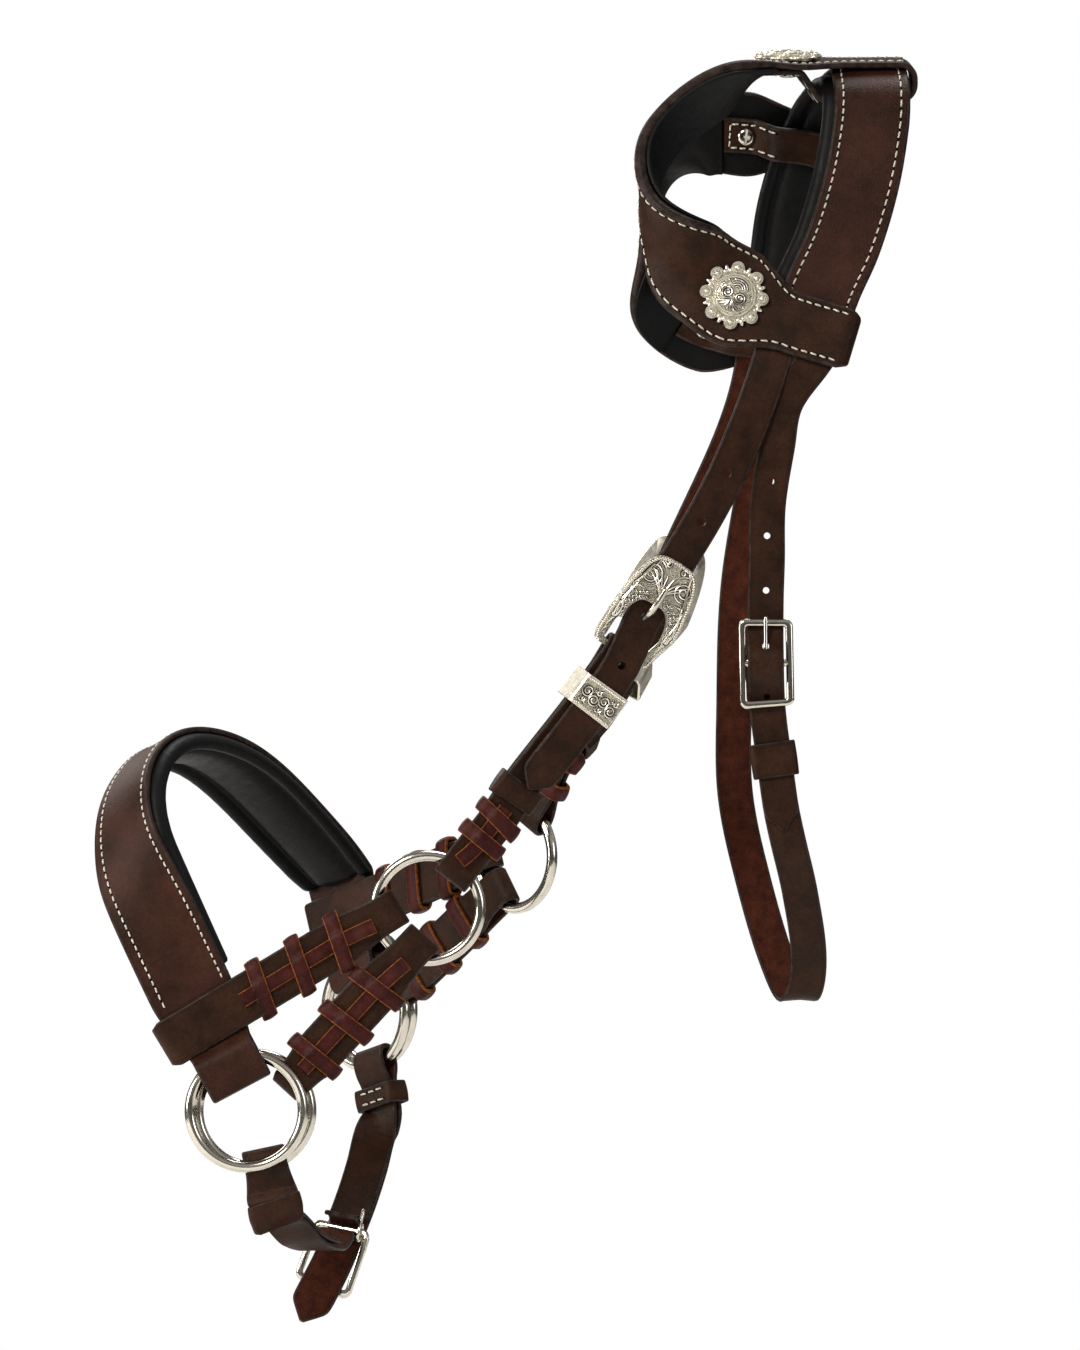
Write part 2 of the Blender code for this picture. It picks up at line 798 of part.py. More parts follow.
def build_noseband():
    """Band over the nose: one leather strap whose ends fold round both lower rings of a side."""
    ahead = (near.crossing - near.low_hub).normalized()
    across = ahead.cross(near.out)
    stops = [(near.crossing, across, ahead)]
    stops.append((near.crossing + ahead * noseband_wide * 0.45, across, ahead))
    for spot, side in zip(noseband_shares, noseband_sides):
        stops.append((place(spot), Vector(side)))
    back = (far.low_hub - far.crossing).normalized()
    across = back.cross(far.out)
    stops.append((far.crossing - back * noseband_wide * 0.45, across, back))
    stops.append((far.crossing, across, back))
    return Spine(stops, 12)


noseband_shares = [
    (-0.8617, -0.4833, -0.6608), (-0.8849, -0.4750, -0.6294), (-0.9020, -0.4333, -0.6019),
    (-0.9081, -0.3417, -0.5602), (-0.8861, -0.2000, -0.5288), (-0.8421, -0.0333, -0.5131),
    (-0.7859, 0.2000, -0.5288), (-0.7346, 0.4000, -0.5618), (-0.6832, 0.5500, -0.5995),
]
noseband_sides = (
    (0.87, -0.05, 0.47), (0.84, -0.25, 0.42), (0.72, -0.66, 0.2), (0.5, -0.86, 0.06), (0.2, -0.97, 0.1),
    (0.08, -0.99, 0.12), (0.45, -0.78, 0.42), (0.6, -0.62, 0.5), (0.66, -0.62, 0.42)
)
noseband_line = build_noseband()
ring_depth = (near.low_hub - near.crossing).length
inner_drop = wire / 2 + slack + noseband_thick / 2
outer_rise = rein_ring_rise + wire / 2 + slack + noseband_thick / 2
nose_mid = (ply_gap + noseband_thick) / 2
fold_end = ring_depth - reach_in(lower_radius, noseband_end_wide / 2 + ring_shift * 0.9)
edge_end = connector_wide / 2 + slack * 3
open_at = ring_depth - lower_radius - wire / 2 - ring_shift * 0.6 - slack


def nose_end(sign, zero):
    """Points of one folded end, from the inner ply round the rings to the outer ply."""
    turn = noseband_thick * 0.62
    points = [
        (-noseband_wide * 0.42, -nose_mid),
        (edge_end - noseband_wide * 0.3, -nose_mid),
        (edge_end, -nose_mid),
        (open_at, -inner_drop),
        ((open_at + fold_end) / 2, -inner_drop),
        (fold_end - turn, -inner_drop),
        (fold_end + turn * 0.3, -inner_drop + turn * 0.5),
        (fold_end + turn, -inner_drop + turn * 1.7),
        (fold_end + turn, outer_rise - turn * 1.7),
        (fold_end + turn * 0.3, outer_rise - turn * 0.5),
        (fold_end - turn, outer_rise),
        ((open_at + fold_end) / 2, outer_rise),
        (open_at, outer_rise),
        (edge_end, nose_mid),
    ]
    return [(zero - sign * s, h) for s, h in points]


def nose_wide(s):
    left = min(s, noseband_line.long - s)
    return blend(
        left,
        (
            (-open_at, noseband_end_wide),
            (0, noseband_wide * 0.93),
            (noseband_wide * 0.45, noseband_wide),
        ),
    )


nose_run = stretch(0, noseband_line.long, 44)
path = nose_end(1, 0)
path += [(s, nose_mid) for s in nose_run]
path += nose_end(-1, noseband_line.long)[::-1]
folded("noseband", noseband_line, path, nose_wide, noseband_thick, leather)
pad_places = [
    s for s in nose_run if noseband_wide * 0.5 < s < noseband_line.long - noseband_wide * 0.5
]
cushion(
    "noseband_lining", noseband_line, pad_places, noseband_wide,
    noseband_thick / 2 + gap - nose_mid, noseband_pad, lining_leather,
)

# Chin strap: a buckle strap from the near chin ring and a long billet from the far one
mid_ply = (ply_gap + ply) / 2
under = Vector((-1, 0, 0))
far_down = far.way(math.radians(-62))
chin_shares = [
    (-0.6013, 0.4750, -0.8297), (-0.6111, 0.3833, -0.8549), (-0.6246, 0.2750, -0.8816),
    (-0.6404, 0.1667, -0.9083), (-0.6551, 0.1000, -0.9303), (-0.6734, 0.0500, -0.9539),
    (-0.6906, 0.0167, -0.9743),
]
stops = [(far.low_hub + far_down * lower_ring_across * k, far_down.cross(far.out), far_down) for k in (0, 0.84)]
stops += [(place(spot), Vector((0.97, 0.1, 0.22))) for spot in chin_shares]
billet_line = Spine(stops)
chin_heel = billet_line.near(place(chin_shares[3]))
hook = bar * 0.72 + slack + ply / 2
heel_level = mid_ply - ply / 2 - gap * 2 - hook - ply / 2
ring_open = wire / 2 + slack + ply / 2
chin_fold = reach_in(lower_radius, chin_wide / 2) - ply
first = chin_fold + ring_open + wire * 1.2
lead = ring_open * 1.5


def ring_fold(level):
    """Fold of a chin strap round its ring, from the inner ply to the outer ply."""
    points = [(first + lead, -level), (first, -ring_open)]
    points += arc(chin_fold + ring_open, 0, ring_open, 270, 90, 6)
    return points + [(first, ring_open), (first + lead, level)]


inner_end = chin_heel - chin_wide * 0.55
path = [(s, -mid_ply) for s in stretch(inner_end, first + lead * 1.6, 12)]
path += ring_fold(mid_ply)
path += [(s, mid_ply) for s in stretch(first + lead * 1.6, billet_line.long - chin_wide, 20)]
path += [(billet_line.long - chin_wide * share, mid_ply) for share in (0.6, 0.35, 0.18, 0.06, 0)]


def chin_billet_wide(s):
    left = max(billet_line.long - s, 0)
    return chin_wide * blend(left, ((0, 0.2), (chin_wide * 0.2, 0.62), (chin_wide * 0.6, 1)))


chin_billet = folded("chin_billet", billet_line, path, chin_billet_wide, ply, leather)

spot, way, side_way, out_way = billet_line.at(chin_heel)
heel_spot = billet_line.put(chin_heel, 0, heel_level)
near_down = near.way(math.radians(-78))
across = near_down.cross(near.out)
stops = [(near.low_hub + near_down * lower_ring_across * k, across, near_down) for k in (0, 0.84)]
near_chin_shares = [
    (-0.7089, -0.4083, -0.8934), (-0.6869, -0.3000, -0.9083), (-0.6624, -0.1333, -0.9138),
]
stops += [(place(spot), under) for spot in near_chin_shares]
stops.append((heel_spot - way * (mid_ply - hook), -side_way, out_way))
strap_line = Spine(stops)
strap_end = strap_line.long
path = [(s, -mid_ply) for s in stretch(strap_end * 0.62, first + lead * 1.3, 5)]
path += ring_fold(mid_ply)
path += [(s, mid_ply) for s in stretch(first + lead * 1.3, strap_end - hook, 12)]
path += arc(strap_end, mid_ply - hook, hook, 90, -90, 6)
path += [(strap_end - hook, mid_ply - hook * 2), (strap_end - hook * 1.8, mid_ply - hook * 2)]


def chin_strap_wide(s):
    left = strap_end - s
    return blend(left, ((hook, chin_end_wide), (hook * 4, chin_wide)))


folded("chin_strap", strap_line, path, chin_strap_wide, ply, leather)


def bow(low, high, half, corner, steps=2):
    """Rounded rectangle in s and t, anticlockwise, as a list of points."""
    points = []
    for cs, ct, start in (
        (high - corner, half - corner, 0),
        (low + corner, half - corner, 90),
        (low + corner, -half + corner, 180),
        (high - corner, -half + corner, 270),
    ):
        for k in range(steps + 1):
            a = math.radians(start + 90 * k / steps)
            points.append((cs + corner * math.cos(a), ct + corner * math.sin(a)))
    return points


free_level = mid_ply + ply / 2 + gap * 2 + bar / 2
chin_free = chin_heel + bow_long
half_in = chin_wide / 2 + slack * 2
outer = bow(chin_heel - bar / 2, chin_free + bar / 2, half_in + bar, bar * 1.3)
inner = bow(chin_heel + bar / 2, chin_free - bar / 2, half_in, bar * 0.4)


def chin_bow_level(s):
    part = (s - chin_heel) / (chin_free - chin_heel)
    return heel_level + (free_level - heel_level) * part


plate("chin_buckle", billet_line, outer, inner, chin_bow_level, bar * 0.9, nickel)
pin_size = 0.0009
eye = bar * 0.72 + slack / 2 + pin_size
path = [(chin_heel + eye * math.cos(a), heel_level + eye * math.sin(a)) for a in (3.4, 2.6, 1.8, 1.0, 0.2)]
path += [(chin_heel + eye * math.cos(a), heel_level + eye * math.sin(a)) for a in (-0.6, -1.4)]
path += [(chin_heel - bar * 1.2, heel_level - bar * 1.4), (chin_heel - bar * 2.6, heel_level - bar * 2.0)]
pin("chin_tongue", billet_line, path, pin_size, nickel, side=chin_end_wide / 2 + slack + pin_size)
half = chin_wide / 2 + slack * 1.8
high = mid_ply + ply / 2 + slack * 1.8
spot = first + lead + leather_keeper_long * 0.52
rows = collar(strap_line, spot, leather_keeper_long * 0.9, -half, half, -high, high, keeper_thick, 3)
solid("chin_keeper_left", rows, True, leather)
rows = collar(billet_line, spot, leather_keeper_long * 0.9, -half, half, -high, high, keeper_thick, 3)
solid("chin_keeper_right", rows, True, leather)

# Throat strap: near billet down to its buckle, far strap round under the throat and back up
near_shares = [
    (-0.0966, -0.4667, -0.2499), (-0.1076, -0.4750, -0.2852), (-0.1186, -0.4750, -0.3308),
    (-0.1198, -0.4750, -0.3740), (-0.1210, -0.4750, -0.4054), (-0.1210, -0.4750, -0.4549),
    (-0.1186, -0.4750, -0.4919), (-0.1100, -0.4750, -0.5351), (-0.0990, -0.4750, -0.5861),
]
throat_in = crown_wide * 0.16
throat_across = crown_wide * 0.27
_, root_way, root_side, _ = crown.at(throat_in)
forward = Vector((-1, 0, 0))
stops = [(crown.put(throat_in, throat_across, 0), forward, -root_way)]
stops += [(place(spot), forward) for spot in near_shares]
throat_billet = Spine(stops)
mid_s = throat_billet.near(place(near_shares[5]))
half_bow = throat_bow / 2
under_bar = throat_bar / 2 + slack / 2 + throat_thick / 2
over_bar = throat_bar / 2 + throat_thick * 1.5 + slack * 1.5
behind = throat_bar / 2 + throat_thick / 2 + slack * 1.2
end = throat_billet.long
path = [(s, 0) for s in stretch(0, mid_s - half_bow * 2, 14)]
path += [
    (mid_s - half_bow * 1.4, -behind * 0.9),
    (mid_s - half_bow, -behind),
    (mid_s - half_bow * 0.68, -behind * 0.4),
    (mid_s - half_bow * 0.28, over_bar * 0.84),
    (mid_s, over_bar),
    (mid_s + half_bow * 0.28, over_bar * 0.72),
    (mid_s + half_bow * 0.74, -behind * 0.7),
    (mid_s + half_bow, -behind),
]
path += [(s, -behind) for s in stretch(mid_s + half_bow * 1.3, end - throat_wide, 5)]
path += [(end - throat_wide * share, -behind) for share in (0.6, 0.35, 0.18, 0.06, 0)]


def throat_billet_wide(s):
    left = max(end - s, 0)
    return throat_wide * blend(left, ((0, 0.2), (throat_wide * 0.2, 0.62), (throat_wide * 0.6, 1)))


billets.append(
    folded("throat_billet", throat_billet, path, throat_billet_wide, throat_thick, None)
)
far_shares = [
    (-0.1161, 0.4167, -0.2561), (-0.1320, 0.4000, -0.3111), (-0.1528, 0.3833, -0.3968),
    (-0.1577, 0.3333, -0.4895), (-0.1564, 0.2917, -0.5586), (-0.1344, 0.2000, -0.6270),
    (-0.1027, 0.0833, -0.6946), (-0.0794, -0.0167, -0.7197), (-0.0672, -0.1333, -0.6922),
    (-0.0782, -0.3000, -0.6372),
]
_, root_way, _, _ = crown.at(crown.long - throat_in)
rearward = Vector((1, 0, 0))
stops = [(crown.put(crown.long - throat_in, throat_across, 0), rearward, root_way)]
stops += [(place(spot), rearward) for spot in far_shares]
for down in (throat_bow * 1.7, throat_bow * 1.2, throat_bow * 0.6, 0):
    spot, way, side_way, _ = throat_billet.at(mid_s + down)
    stops.append((spot, -side_way, -way))
throat_line = Spine(stops, 12)
last = throat_line.long
front_ply = -behind - throat_thick - slack * 0.6
back_ply = front_ply - throat_thick - slack * 0.6
wrap = throat_bar / 2 + throat_thick / 2 + slack / 2
path = [(s, 0) for s in stretch(0, last - throat_bow * 2.3, 30)]
path += [(s, front_ply) for s in stretch(last - throat_bow * 1.65, last - half_bow, 6)]
path += [(last - half_bow * 0.66, front_ply * 0.86), (last - half_bow * 0.24, wrap * 0.55)]
path += arc(last, 0, wrap, 120, -80, 7)
path += [(last - half_bow * 0.42, back_ply * 0.62), (last - half_bow * 0.9, back_ply)]
path += [(last - half_bow * 1.3, back_ply), (last - half_bow * 1.75, back_ply)]
billets.append(folded("throat_strap", throat_line, path, throat_wide, throat_thick, None))
rows = []
for s in (last - half_bow * 0.5, last + wrap * 1.6):
    rows.append(
        [
            throat_line.put(s, -bar * 0.55, front_ply * 1.2),
            throat_line.put(s, bar * 0.55, front_ply * 1.2),
            throat_line.put(s, bar * 0.55, wrap * 1.6),
            throat_line.put(s, -bar * 0.55, wrap * 1.6),
        ]
    )
throat_slot = solid("throat_slot", rows, False, None)
half_out = throat_bow_wide / 2
outer = bow(
    mid_s - half_bow - throat_bar / 2, mid_s + half_bow + throat_bar / 2, half_out, throat_bar
)
inner = bow(
    mid_s - half_bow + throat_bar / 2, mid_s + half_bow - throat_bar / 2, half_out - throat_bar,
    throat_bar * 0.3,
)


def flat_level(s):
    return 0


throat_buckle = plate("throat_buckle", throat_billet, outer, inner, flat_level, throat_bar, nickel)
ends = [throat_billet.put(mid_s, t, 0) for t in (throat_bar / 2 - half_out, half_out - throat_bar / 2)]
combine(throat_buckle, [rod("centre_bar", ends[0], ends[1], throat_bar / 2, 8)], "UNION")
pin_size = 0.0009
eye = throat_bar / 2 + gap * 2 + pin_size
rest = throat_bar / 2 + gap + pin_size
path = [(mid_s - x, h) for x, h in arc(0, 0, eye, 290, 100, 8)]
path += [(mid_s - x, h) for x, h in arc(0, 0, eye, 90, 75, 1)]
path += [(mid_s - half_bow * 0.5, rest), (mid_s - half_bow, rest), (mid_s - half_bow * 1.16, rest)]
pin("throat_tongue", throat_billet, path, pin_size, nickel)
start = throat_billet.put(mid_s - half_bow * 0.12, 0, rest)
stop = throat_billet.put(mid_s - half_bow * 0.8, 0, rest)
cutters.append(rod("throat_hole", start, stop, pin_size * 1.8, 8))
for share in (-4.5, -3.15, -1.8, 0.84):
    spot, _, _, out = throat_billet.at(mid_s + half_bow * share)
    deep = spot - out * (behind * 1.2)
    cutters.append(rod("throat_punch", deep, spot + out * ply, hole_across * 0.4, 8))
half = throat_wide / 2 + slack
low = front_ply - throat_thick / 2 - slack
high = throat_thick / 2 - behind + slack
rows = collar(
    throat_billet, mid_s + throat_bow * 1.2, leather_keeper_long * 1.4, -half, half, low, high,
    keeper_thick, 3,
)
solid("throat_keeper", rows, True, leather)

# Ear loops: a shaped band on each side whose two ends fold round the crown
near_ear_shares = [
    (-0.1564, -0.4750, -0.1713), (-0.1980, -0.4833, -0.1564), (-0.2408, -0.4750, -0.1249),
    (-0.2713, -0.4500, -0.0935), (-0.2774, -0.4083, -0.0621), (-0.2579, -0.3333, -0.0299),
    (-0.2188, -0.2500, -0.0063), (-0.1772, -0.1833, 0.0086), (-0.1369, -0.1333, 0.0173),
    (-0.0941, -0.1000, 0.0189),
]
near_ear_sides = (
    (0.4, 0, 0.9), (0.5, 0, 0.85), (0.4, -0.6, 0.5), (0.1, -0.9, 0.2), (-0.35, -0.9, 0.1),
    (-0.5, -0.8, 0.3), (-0.35, -0.9, 0.3), (-0.12, -0.97, 0.2), (0, -1, 0), (0, -1, 0)
)
far_ear_shares = [
    (-0.1943, 0.4667, -0.1894), (-0.2359, 0.4750, -0.1744), (-0.2628, 0.4417, -0.1399),
    (-0.2689, 0.3917, -0.0974), (-0.2567, 0.3500, -0.0636), (-0.2261, 0.3167, -0.0416),
    (-0.1870, 0.3000, -0.0322), (-0.1430, 0.2917, -0.0346),
]
far_ear_sides = (
    (0, 0, -1), (-0.6, 0, -0.8), (-0.3, -0.8, -0.3), (0.05, -0.98, 0), (-0.2, -0.9, 0.3),
    (-0.5, -0.5, 0.6), (-0.2, 0, 0.98), (0, 0, 1)
)
ear_lift = crown_thick / 2 + slack * 1.6 + ear_thick / 2
tab_flat = -ear_thick - slack * 0.6
plain_deep = -ear_lift - crown_thick / 2 - slack * 3 - ear_thick / 2
padded_deep = plain_deep - gap - crown_pad - slack * 2.5


def ear_end(sign, zero, deep):
    """Points of one end: returned tab, fold round the rear edge of the crown, then the band."""
    radius = -deep / 2
    edge = crown_wide / 2 + slack - (radius - ear_thick / 2) * 0.25
    clear = crown_wide / 2 * 1.06 + slack
    fall_run = (concho_from_crown - post_across * 1.2) - clear
    points = [(concho_from_crown + tab_over, tab_flat), (concho_from_crown, tab_flat)]
    points += [(concho_from_crown - post_across * 1.2, tab_flat)]
    points += [(clear + fall_run * 0.5, (tab_flat + deep) * 0.5), (clear, deep), (clear * 0.4, deep)]
    points += [(-clear * 0.4, deep)]
    widths = [ear_tab_wide] * 7
    turn = arc(-edge, deep / 2, radius, 270, 90, 8)
    widths += [ear_tab_wide + (ear_end_wide - ear_tab_wide) * k / 8 for k in range(9)]
    return [(zero + sign * x, h) for x, h in points + turn], widths


def build_ear(side, shares, sides, low_s, high_s, low_deep, high_deep):
    spot, way, across, out = crown.at(low_s)
    start = spot + out * ear_lift
    stops = [(place(one), Vector(two)) for one, two in zip(shares, sides)]
    end_spot, end_way, end_across, end_out = crown.at(high_s)
    end = end_spot + end_out * ear_lift
    # Both ends lie flat in the plane of the crown, as far as the conchos reach
    for i, base, normal in ((0, start, out), (1, start, out), (-2, end, end_out), (-1, end, end_out)):
        one, two = stops[i]
        stops[i] = (one - normal * (one - base).dot(normal), two - normal * two.dot(normal))
    stops = [(start, way, -across)] + stops + [(end, -end_way, end_across)]
    line = Spine(stops, 12)
    low_path, low_widths = ear_end(1, 0, low_deep)
    high_path, high_widths = ear_end(-1, line.long, high_deep)

    def ear_width(s):
        left = min(s, line.long - s)
        return blend(
            left,
            (
                (crown_wide * 0.3, ear_end_wide),
                (concho_from_crown, ear_wide),
                (concho_from_crown * 1.5, ear_wide * 0.95),
                (line.long * 0.45, ear_waist),
            ),
        )

    places = stretch(0, line.long, 44)
    path = low_path + [(s, 0) for s in places] + high_path[::-1]
    widths = low_widths + [ear_width(s) for s in places] + high_widths[::-1]
    band = folded("ear_loop_" + side.mark, line, path, 0, ear_thick, leather, widths=widths)
    begin = concho_from_crown + tab_over + slack * 2
    inside = -ear_thick / 2 - gap * 1.6 - ear_lining_thick / 2
    path = [(s, inside) for s in places if begin < s < line.long - begin]
    widths = [ear_width(s) - slack * 2 for s, _ in path]
    folded("ear_lining_" + side.mark, line, path, 0, ear_lining_thick, lining_leather, widths=widths)
    holes = []
    for where, s in (("low", concho_from_crown), ("high", line.long - concho_from_crown)):
        spot, way, across, out = line.at(s)
        top = ear_thick / 2 + slack
        low = tab_flat - ear_thick / 2 - gap
        post = post_across / 2
        holes.append(
            rod("post_hole", spot + out * (low - slack), spot + out * (top + slack), post + slack / 2, 10)
        )
        radius = concho_across / 2
        profile = ((radius * 0.9, top, 0.02), (radius * 0.98, top + concho_rise * 0.1, 0.02))
        profile += ((radius * 0.97, top + concho_rise * 0.35, 0.02),)
        profile += ((radius * 0.84, top + concho_rise * 0.45, 0.01),)
        profile += ((radius * 0.72, top + concho_rise * 0.38, 0), (radius * 0.64, top + concho_rise * 0.6, 0))
        profile += ((radius * 0.4, top + concho_rise * 0.9, 0), (radius * 0.14, top + concho_rise, 0))
        turned("concho_" + where + "_" + side.mark, spot, out, way, profile, 24, 8, silver)
        head = screw_across / 2
        profile = ((post, top - slack - gap, 0), (post, low, 0), (head * 0.98, low, 0))
        profile += ((head, low - screw_rise * 0.5, 0), (head * 0.8, low - screw_rise, 0))
        screw = turned("screw_" + where + "_" + side.mark, spot, out, way, profile, 16, 1, nickel)
        notch = []
        for k in (-1, 1):
            notch.append(
                [
                    spot + across * (head * 1.2 * k) + way * (screw_rise * a) + out * (low - screw_rise * b)
                    for a, b in ((-0.4, 0.45), (0.4, 0.45), (0.4, 1.5), (-0.4, 1.5))
                ]
            )
        combine(screw, [solid("notch", notch, False, None)], "DIFFERENCE")
    combine(band, holes, "DIFFERENCE")
    side.ear = line


low_s = crown.near(place((-0.0721, -0.4417, -0.1909)))
high_s = crown.near(place((0.0012, -0.0667, 0.0126)))
build_ear(near, near_ear_shares, near_ear_sides, low_s, high_s, plain_deep, padded_deep)
low_s = crown.long - low_s
high_s = crown.near(place((-0.0477, 0.2583, -0.0440)))
build_ear(far, far_ear_shares, far_ear_sides, low_s, high_s, plain_deep, padded_deep)

# Crown strap made whole: cheek billets and throat strap joined, then the holes cut
combine(crown_strap, billets, "UNION")
combine(crown_strap, cutters + [throat_slot], "DIFFERENCE")
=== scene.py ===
"""Sidepull bridle: padded noseband and crown, ear loops, laced connectors and silver buckles."""

import bisect
import math

import bmesh
import bpy
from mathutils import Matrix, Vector


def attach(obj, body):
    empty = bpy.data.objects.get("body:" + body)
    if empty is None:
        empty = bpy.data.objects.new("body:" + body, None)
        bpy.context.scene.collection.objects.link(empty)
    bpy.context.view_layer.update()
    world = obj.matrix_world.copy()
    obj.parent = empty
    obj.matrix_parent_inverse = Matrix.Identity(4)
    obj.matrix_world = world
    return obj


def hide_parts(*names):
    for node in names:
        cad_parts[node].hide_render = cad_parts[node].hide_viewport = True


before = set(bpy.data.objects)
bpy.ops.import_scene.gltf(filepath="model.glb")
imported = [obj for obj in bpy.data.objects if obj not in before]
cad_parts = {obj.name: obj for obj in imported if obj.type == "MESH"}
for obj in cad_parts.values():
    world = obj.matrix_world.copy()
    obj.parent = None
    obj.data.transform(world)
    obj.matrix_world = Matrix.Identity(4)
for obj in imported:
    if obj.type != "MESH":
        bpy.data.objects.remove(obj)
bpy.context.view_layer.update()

# Studio: the bridle hangs in front of a white surround over a pale matt floor.
# A long lens looks straight at its near side, and five soft panels light it from the
# upper left, from the left, from behind on the left, from the right and from above.
view_centre = Vector((-0.143, 0, -0.260))
view_height = 0.594
lens_mm = 600
sensor_mm = 36
near_plane = -0.058
camera_data = bpy.data.cameras.new("product_camera")
camera_data.lens = lens_mm
camera_data.sensor_width = sensor_mm
camera_data.clip_start = 0.1
camera_data.clip_end = 60
camera = bpy.data.objects.new("product_camera", camera_data)
bpy.context.scene.collection.objects.link(camera)
camera.location = view_centre + Vector((0, near_plane - view_height * lens_mm / sensor_mm, 0))
camera.rotation_euler = (math.radians(90), 0, 0)
bpy.context.scene.camera = camera
bpy.context.scene.view_settings.view_transform = "Standard"


def colour(code):
    """Linear colour of an sRGB hex code."""
    parts = [int(code[k:k + 2], 16) / 255 for k in (0, 2, 4)]
    parts = [p / 12.92 if p <= 0.04045 else ((p + 0.055) / 1.055) ** 2.4 for p in parts]
    return (*parts, 1)


def add_node(tree, kind, settings, **links):
    """One node: settings go to its sockets or else its properties; links come from other sockets."""
    made = tree.nodes.new(kind)
    for key, value in settings.items():
        if isinstance(key, int) or key in made.inputs:
            made.inputs[key].default_value = value
        else:
            setattr(made, key, value)
    for key, source in links.items():
        target = made.inputs[int(key[1:])] if key[1:].isdigit() else made.inputs[key.replace("_", " ")]
        tree.links.new(source, target)
    return made


def new_material(name):
    """A material emptied of nodes, its tree and its output."""
    made = bpy.data.materials.new(name)
    made.use_nodes = True
    made.node_tree.nodes.clear()
    return made, made.node_tree, made.node_tree.nodes.new("ShaderNodeOutputMaterial")


def ramp(tree, source, low, high, start=0.0, stop=1.0, more=()):
    """Colour from a ramp between two hex codes, with more stops where they are given."""
    made = add_node(tree, "ShaderNodeValToRGB", {}, Fac=source)
    for end, place, code in zip(list(made.color_ramp.elements), (start, stop), (low, high)):
        end.position = place
        end.color = colour(code)
    for place, code in more:
        made.color_ramp.elements.new(place).color = colour(code)
    return made.outputs["Color"]


def remap(tree, source, low, high, start=0.0, stop=1.0):
    """A value carried from one range into another."""
    settings = {"From Min": start, "From Max": stop, "To Min": low, "To Max": high}
    return add_node(tree, "ShaderNodeMapRange", settings, Value=source).outputs[0]


def end_material(tree, output, settings, tint, gloss, height, strength, depth):
    """Shader with its colour, its roughness if that varies, and a bump from a height."""
    bump = add_node(tree, "ShaderNodeBump", {"Strength": strength, "Distance": depth}, Height=height)
    links = {"Base_Color": tint, "Normal": bump.outputs["Normal"]}
    if gloss is not None:
        links["Roughness"] = gloss
    shader = add_node(tree, "ShaderNodeBsdfPrincipled", settings, **links)
    tree.links.new(shader.outputs["BSDF"], output.inputs["Surface"])


for name, place, size, power, tint in (
    ("key_panel", (-1.1, -1.7, 0.9), 0.8, 30, "fffaf2"),
    ("fill_panel", (1.5, -1.4, 0.1), 0.9, 8, "f4f7ff"),
    ("side_panel", (-1.8, -0.5, 0.0), 0.8, 18, "fffdf8"),
    ("rim_panel", (-1.2, 1.4, 0.7), 0.9, 9, "fffdf8"),
    ("top_panel", (0.1, 0.5, 1.5), 0.9, 24, "ffffff"),
):
    data = bpy.data.lights.new(name, "AREA")
    data.shape = "DISK"
    data.size = size
    data.energy = power
    data.color = colour(tint)[:3]
    panel = bpy.data.objects.new(name, data)
    bpy.context.scene.collection.objects.link(panel)
    panel.location = place
    panel.rotation_euler = (view_centre - panel.location).to_track_quat("-Z", "Y").to_euler()
surround = bpy.data.worlds.new("white_surround")
surround.use_nodes = True
bpy.context.scene.world = surround
tree = surround.node_tree
tree.nodes.clear()
spot = add_node(tree, "ShaderNodeTexCoord", {}).outputs["Generated"]
height = add_node(tree, "ShaderNodeSeparateXYZ", {}, Vector=spot).outputs["Z"]
tone = ramp(
    tree, remap(tree, height, 0.0, 1.0, -1.0), "2c2b2a", "a8a8a8",
    more=((0.42, "4a4845"), (0.55, "8c8a86"), (0.72, "e8e6e2"), (0.85, "b4b3b0")),
)
room = add_node(tree, "ShaderNodeBackground", {"Strength": 0.5}, Color=tone)
paper = add_node(tree, "ShaderNodeBackground", {"Color": colour("ffffff"), "Strength": 1.0})
seen = add_node(tree, "ShaderNodeLightPath", {}).outputs["Is Camera Ray"]
both = add_node(
    tree, "ShaderNodeMixShader", {}, _0=seen, _1=room.outputs["Background"], _2=paper.outputs["Background"]
)
output = add_node(tree, "ShaderNodeOutputWorld", {}, Surface=both.outputs["Shader"])

floor_half = 1.2
floor_level = -0.62
floor_mesh = bpy.data.meshes.new("studio_floor")
floor_mesh.from_pydata(
    [(x * floor_half, y * floor_half, floor_level) for x, y in ((-1, -1), (1, -1), (1, 1), (-1, 1))],
    [], [(0, 1, 2, 3)],
)
studio_floor = bpy.data.objects.new("studio_floor", floor_mesh)
bpy.context.scene.collection.objects.link(studio_floor)
floor_paint, tree, output = new_material("matt_studio_paint")
speckle = add_node(tree, "ShaderNodeTexNoise", {"Scale": 90.0, "Detail": 4.0})
tone = ramp(tree, speckle.outputs["Fac"], "e9e8e5", "f1f0ee")
paint = add_node(tree, "ShaderNodeBsdfPrincipled", {"Roughness": 0.9}, Base_Color=tone)
tree.links.new(paint.outputs["BSDF"], output.inputs["Surface"])
floor_mesh.materials.append(floor_paint)

# Crown strap: bridle leather band over the poll, cut from a vegetable-tanned and oiled
# side. Its grain face shows outside, its ends split into the cheek and throat straps,
# and a padded black lining is sewn under it with white waxed thread.
gap = 0.0003
slack = 0.0006
crown_wide = 0.0375
crown_thick = 0.003
cheek_wide = 0.017
throat_wide = 0.0158
throat_thick = 0.0019
billet_thick = 0.0023
stitch_pitch = 0.0042
stitch_wide = 0.00082
stitch_share = 0.36


